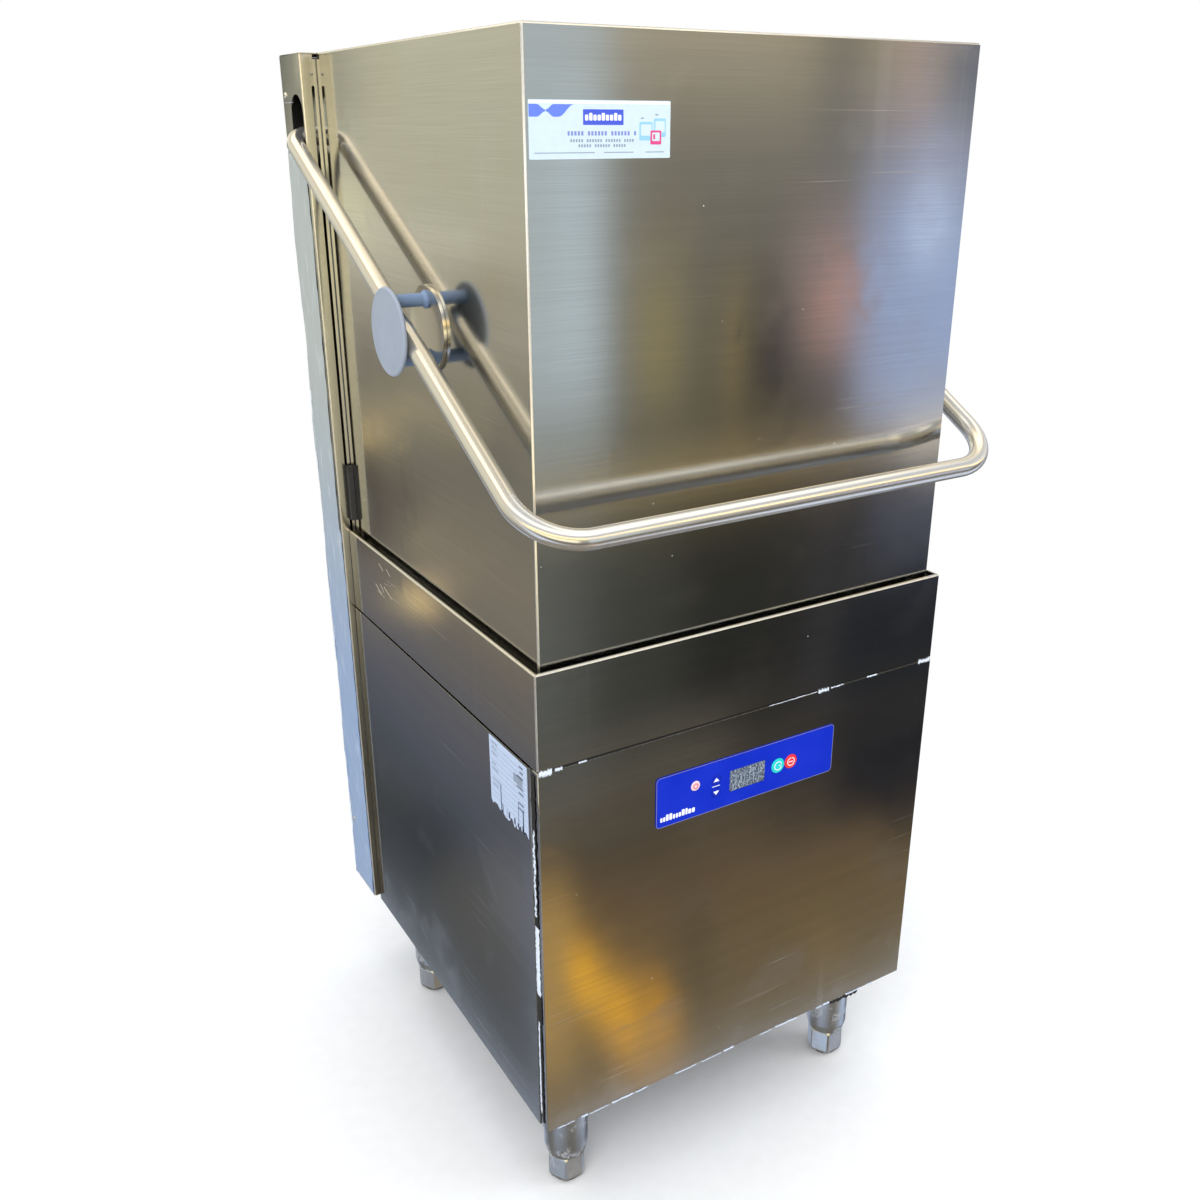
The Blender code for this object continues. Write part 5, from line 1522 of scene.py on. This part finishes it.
def surroundings():
    """The world: white to the camera, soft light for all surfaces, and a room where steel mirrors it."""
    world = bpy.data.worlds.new("surroundings")
    bpy.context.scene.world = world
    world.use_nodes = True
    world.node_tree.nodes.clear()
    room = Room(world.node_tree)
    way = room.node("ShaderNodeTexCoord").outputs["Generated"]
    parts = room.node("ShaderNodeSeparateXYZ", {"Vector": way}).outputs
    across, up = room.on_plane(parts, "Y", "X", HOOD[0].y - CAMERA_PLACE.y, CAMERA_PLACE.x)
    front = room.bands(up, *ROOM_HEIGHT, FRONT_BANDS)
    for span, rise, soft, tint, strength in FRONT_PATCHES:
        front = room.patch(front, across, up, span, rise, soft, tint, strength)
    along, rise_left = room.on_plane(parts, "X", "Y", HOOD[0].x - CAMERA_PLACE.x, CAMERA_PLACE.y)
    side = room.bands(rise_left, *ROOM_HEIGHT, SIDE_BANDS)
    for span, rise, soft, tint, strength in SIDE_PATCHES:
        side = room.patch(side, along, rise_left, span, rise, soft, tint, strength)
    behind = room.ramp(parts["Y"], -0.10, 0.10)
    colour = room.mix(behind, front, side)
    rightward = room.ramp(parts["X"], 0.15, 0.45)
    far_side = room.bands(parts["Z"], -1.0, 1.0, FAR_BANDS)
    colour = room.mix(room.times(rightward, behind), colour, far_side)
    rearward = room.ramp(parts["Y"], -0.05, 0.25)
    overhead = room.mix(rearward, rgb((0.62, 0.64, 0.67)), rgb((0.80, 0.71, 0.52)))
    colour = room.mix(room.ramp(parts["Z"], 0.25, 0.60), colour, overhead)
    lamp = room.times(room.ramp(parts["Z"], 0.66, 0.78), room.ramp(parts["Z"], 0.97, 0.90))
    lamp_light = room.mix(rearward, rgb((1.9, 1.85, 1.65)), rgb((2.1, 1.85, 1.35)))
    colour = room.mix(lamp, colour, lamp_light)
    floor = room.ramp(parts["Z"], -0.755, -0.80)
    colour = room.mix(floor, colour, rgb((0.24, 0.21, 0.16)))
    mirrored_light = room.light(colour, 1.0)
    soft_light = room.light(rgb((0.92, 0.95, 1.0)), 0.85)
    backdrop = room.light(rgb((1.0, 1.0, 1.0)), 1.0)
    ray = room.node("ShaderNodeLightPath").outputs
    mixed = room.choose(ray["Is Glossy Ray"], soft_light, mirrored_light)
    mixed = room.choose(ray["Is Camera Ray"], mixed, backdrop)
    output = room.node("ShaderNodeOutputWorld")
    room.put(output.inputs["Surface"], mixed)


# Heights and places are where the camera sees each part of the room mirrored, on the face's plane.
# A part above 255 is brighter than a white sheet of paper, as a lamp or a window is.
ROOM_HEIGHT = (0.10, 2.10)
FRONT_BANDS = (
    (0.102, (176, 188, 206)),
    (0.122, (112, 98, 72)),
    (0.24, (106, 92, 66)),
    (0.34, (102, 87, 63)),
    (0.46, (100, 84, 64)),
    (0.54, (84, 74, 60)),
    (0.62, (62, 58, 54)),
    (0.70, (56, 54, 51)),
    (0.77, (42, 42, 41)),
    (0.90, (42, 43, 41)),
    (0.98, (36, 38, 37)),
    (1.05, (72, 70, 62)),
    (1.12, (86, 83, 72)),
    (1.20, (94, 90, 79)),
    (1.30, (100, 97, 89)),
    (1.40, (114, 110, 101)),
    (1.50, (150, 142, 124)),
    (1.62, (176, 164, 136)),
    (1.76, (300, 262, 186)),
    (1.90, (325, 286, 208)),
    (2.10, (196, 194, 186)),
)
# Each patch: across, up, softness of both, colour, strength.
FRONT_PATCHES = (
    ((-0.60, -0.212), (1.10, 1.80), (0.022, 0.05), (164, 173, 176), 1.0),
    ((-0.60, -0.220), (1.03, 1.14), (0.030, 0.04), (128, 134, 134), 0.9),
    ((-0.275, -0.225), (1.16, 1.44), (0.014, 0.05), (176, 189, 196), 0.9),
    ((-0.195, -0.110), (1.13, 1.34), (0.016, 0.04), (122, 114, 94), 0.8),
    ((-0.175, -0.128), (1.13, 1.27), (0.012, 0.04), (136, 124, 84), 0.9),
    ((-0.205, -0.100), (1.04, 1.12), (0.030, 0.03), (101, 98, 84), 0.8),
    ((-0.056, -0.028), (1.09, 1.27), (0.010, 0.05), (140, 122, 80), 0.9),
    ((-0.022, 0.048), (1.04, 1.25), (0.014, 0.04), (42, 44, 48), 1.0),
    ((0.040, 0.145), (1.17, 1.34), (0.026, 0.04), (134, 118, 114), 0.9),
    ((0.075, 0.135), (1.18, 1.28), (0.024, 0.04), (186, 138, 122), 0.9),
    ((0.060, 0.135), (0.99, 1.14), (0.026, 0.03), (74, 70, 78), 0.9),
    ((0.060, 0.130), (1.36, 1.70), (0.020, 0.05), (102, 100, 97), 0.8),
    ((0.138, 0.60), (1.05, 1.37), (0.016, 0.03), (142, 152, 180), 1.0),
    ((0.190, 0.60), (1.06, 1.33), (0.020, 0.03), (146, 162, 196), 0.9),
    ((0.222, 0.285), (1.27, 1.43), (0.018, 0.02), (200, 216, 250), 0.9),
    ((0.150, 0.60), (1.36, 1.43), (0.030, 0.03), (142, 146, 166), 0.8),
    ((0.182, 0.240), (1.42, 1.80), (0.016, 0.03), (166, 144, 138), 0.9),
    ((0.262, 0.60), (1.44, 1.80), (0.014, 0.03), (96, 101, 112), 1.0),
    ((-0.21, 0.145), (1.075, 1.130), (0.02, 0.020), (62, 60, 54), 0.55),
    ((-0.60, 0.60), (1.030, 1.066), (0.10, 0.010), (190, 166, 116), 0.7),
    ((0.235, 0.60), (1.020, 1.070), (0.022, 0.012), (232, 220, 198), 0.9),
    ((-0.60, -0.215), (0.62, 0.99), (0.060, 0.04), (84, 86, 83), 0.9),
    ((-0.60, -0.290), (0.78, 0.99), (0.020, 0.04), (94, 96, 93), 0.6),
    ((-0.225, -0.110), (0.66, 0.99), (0.030, 0.04), (62, 63, 58), 0.8),
    ((0.090, 0.142), (0.68, 0.99), (0.020, 0.03), (58, 57, 60), 0.9),
    ((0.190, 0.60), (0.87, 0.99), (0.026, 0.03), (74, 78, 93), 0.9),
    ((0.150, 0.60), (0.50, 0.87), (0.016, 0.04), (38, 41, 46), 0.9),
    ((0.040, 0.60), (0.49, 0.68), (0.040, 0.03), (58, 55, 52), 0.7),
    ((0.165, 0.60), (0.49, 0.62), (0.020, 0.03), (34, 36, 42), 1.0),
    ((0.270, 0.60), (0.42, 0.53), (0.020, 0.03), (38, 39, 44), 0.9),
    ((-0.60, -0.270), (0.26, 0.56), (0.022, 0.05), (166, 136, 86), 0.9),
    ((-0.276, -0.230), (0.365, 0.435), (0.010, 0.02), (262, 190, 30), 1.0),
    ((-0.250, -0.206), (0.31, 0.39), (0.014, 0.03), (204, 156, 70), 0.9),
    ((-0.212, -0.170), (0.25, 0.36), (0.010, 0.02), (236, 170, 40), 1.0),
    ((-0.156, -0.112), (0.23, 0.34), (0.010, 0.02), (212, 150, 42), 1.0),
    ((-0.098, -0.050), (0.24, 0.46), (0.012, 0.03), (78, 72, 56), 0.7),
    ((-0.60, -0.02), (0.60, 0.73), (0.05, 0.03), (94, 90, 82), 0.6),
    ((-9.0, -0.85), (0.99, 1.30), (0.05, 0.04), (200, 192, 166), 1.0),
    ((-9.0, -0.85), (1.28, 1.46), (0.05, 0.02), (285, 270, 215), 1.0),
    ((-0.180, -0.100), (0.15, 0.26), (0.022, 0.03), (156, 124, 74), 0.8),
    ((0.140, 0.200), (0.22, 0.31), (0.030, 0.03), (130, 110, 72), 0.6),
)
SIDE_BANDS = (
    (0.10, (150, 160, 176)),
    (0.13, (56, 56, 55)),
    (0.26, (67, 68, 68)),
    (0.34, (75, 75, 72)),
    (0.42, (77, 77, 76)),
    (0.50, (67, 72, 80)),
    (0.60, (79, 82, 93)),
    (0.70, (92, 91, 95)),
    (0.80, (101, 97, 92)),
    (0.88, (116, 109, 99)),
    (0.96, (120, 113, 100)),
    (1.02, (106, 103, 94)),
    (1.12, (118, 113, 100)),
    (1.20, (144, 138, 124)),
    (1.30, (168, 165, 146)),
    (1.50, (176, 173, 151)),
    (2.00, (206, 202, 184)),
)
SIDE_PATCHES = (
    ((0.17, 0.34), (0.84, 1.00), (0.03, 0.03), (48, 46, 44), 1.0),
    ((0.03, 0.12), (0.935, 0.985), (0.02, 0.015), (56, 53, 48), 0.9),
    ((0.02, 0.09), (0.885, 0.915), (0.015, 0.010), (190, 170, 126), 0.8),
    ((0.04, 0.20), (0.86, 0.99), (0.03, 0.03), (96, 90, 80), 0.7),
    ((0.18, 0.235), (1.000, 1.032), (0.014, 0.010), (300, 262, 170), 1.0),
    ((0.10, 0.30), (1.000, 1.060), (0.030, 0.016), (168, 152, 116), 0.7),
    ((-0.16, 0.10), (1.074, 1.100), (0.030, 0.010), (176, 160, 122), 0.6),
    ((0.14, 0.30), (1.26, 1.36), (0.03, 0.03), (206, 200, 166), 0.8),
    ((0.24, 0.30), (1.40, 1.80), (0.01, 0.03), (98, 97, 85), 0.8),
    ((0.15, 0.22), (1.44, 1.70), (0.02, 0.02), (134, 128, 110), 0.7),
    ((-0.28, -0.19), (1.04, 1.12), (0.03, 0.03), (100, 95, 86), 0.7),
    ((-0.02, 0.08), (0.805, 0.850), (0.03, 0.012), (226, 196, 140), 1.0),
    ((0.06, 0.15), (0.780, 0.812), (0.02, 0.010), (196, 180, 138), 0.8),
    ((-0.60, -0.14), (0.42, 0.55), (0.04, 0.03), (98, 98, 99), 0.9),
    ((0.00, 0.13), (0.38, 0.48), (0.04, 0.04), (48, 51, 56), 0.9),
    ((0.08, 0.80), (0.26, 0.42), (0.04, 0.05), (45, 48, 51), 0.9),
    ((-0.60, -0.27), (0.15, 0.62), (0.02, 0.08), (112, 118, 136), 0.7),
    ((0.35, 9.00), (1.375, 1.80), (0.03, 0.02), (80, 84, 79), 1.0),
    ((-0.20, 0.24), (1.302, 1.308), (0.02, 0.003), (215, 212, 198), 0.9),
    ((-0.16, 0.26), (1.24, 1.302), (0.05, 0.010), (186, 182, 160), 0.5),
    ((-0.60, -0.02), (1.235, 1.285), (0.06, 0.020), (138, 135, 121), 0.6),
    ((-0.255, -0.205), (1.235, 1.280), (0.010, 0.012), (150, 132, 102), 0.8),
    ((0.12, 0.20), (1.10, 1.17), (0.02, 0.02), (100, 96, 84), 0.7),
)
FAR_BANDS = (
    (-1.00, (60, 58, 54)),
    (-0.30, (90, 90, 92)),
    (0.00, (150, 152, 156)),
    (0.60, (210, 210, 208)),
    (1.00, (230, 230, 226)),
)


def softbox(name, place, aim, size, power, colour=(1.0, 1.0, 1.0)):
    """A square light that steel doesn't mirror."""
    data = bpy.data.lights.new(name, "AREA")
    data.shape = "RECTANGLE"
    data.size, data.size_y = size
    data.energy = power
    data.color = colour
    made = bpy.data.objects.new(name, data)
    made.location = place
    made.rotation_euler = (Vector(aim) - Vector(place)).to_track_quat("-Z", "Y").to_euler()
    bpy.context.scene.collection.objects.link(made)
    made.visible_glossy = False


def studio():
    """Pale floor, soft light, and the camera."""
    shape = bmesh.new()
    reach, level = 9.0, -0.0004
    shape.faces.new([shape.verts.new(corner) for corner in quad(2, level, (-reach, -reach), (reach, reach))])
    floor = bpy.data.objects.new("studio_floor", mesh_from("studio_floor", shape))
    made, s, sockets, place = new_material("studio_paper")
    mottle = s.ramp(s.noise(place, 40.0, 3.0), 0.3, 0.7)
    paper = s.mix(mottle, rgb((0.90, 0.90, 0.90)), rgb((0.92, 0.92, 0.92)))
    away = s.ramp(s.vector("LENGTH", place), 0.75, 1.50)
    s.put(sockets["Base Color"], s.mix(away, paper, rgb((0.0, 0.0, 0.0))))
    s.put(sockets["Emission Strength"], away)
    sockets["Emission Color"].default_value = (1.0, 1.0, 1.0, 1.0)
    sockets["Roughness"].default_value = 0.95
    sockets["Specular IOR Level"].default_value = 0.0
    floor.data.materials.append(made)
    bpy.context.scene.collection.objects.link(floor)
    floor.visible_glossy = False
    softbox("softbox_left", (-2.6, -2.2, 3.0), (0.0, 0.0, 0.8), (2.2, 2.2), 60.0)
    softbox("softbox_right", (2.8, -2.0, 2.6), (0.0, 0.0, 0.8), (1.8, 2.2), 40.0, (0.94, 0.97, 1.0))
    softbox("softbox_top", (-0.2, 0.2, 3.6), (0.0, 0.0, 0.0), (3.0, 3.0), 60.0)
    camera_data = bpy.data.cameras.new("camera")
    camera_data.lens = CAMERA_LENS
    camera_data.sensor_width = 36.0
    camera_data.shift_x, camera_data.shift_y = CAMERA_SHIFT
    camera_data.dof.use_dof = False
    camera = bpy.data.objects.new("camera", camera_data)
    camera.location = CAMERA_PLACE
    camera.rotation_euler = (CAMERA_TILT, 0.0, CAMERA_TURN)
    bpy.context.scene.collection.objects.link(camera)
    bpy.context.scene.camera = camera
    bpy.context.scene.view_settings.view_transform = "Standard"


# ---------------------------------------------------------------- everything in place
hood()
rim()
front_tray()
column()
column_cap()
column_film()
handle()
for word, side in SIDES:
    side_sheet(word, side)
    column_trim(word, side)
    guide(word, side)
    for end in ("front", "rear"):
        leg(f"{end}_{word}")
        foot(f"{end}_{word}")
fascia()
keys()
display()
control_marks()
front_label()
rating_plate()
seam_flakes()
lower_flakes()
corner_shreds()
rim_scratches()
for node in ARMS:
    spray_arm(node, 1 if node.startswith("lower") else -1)
springs()
back_details()
paint_cad()
surroundings()
studio()
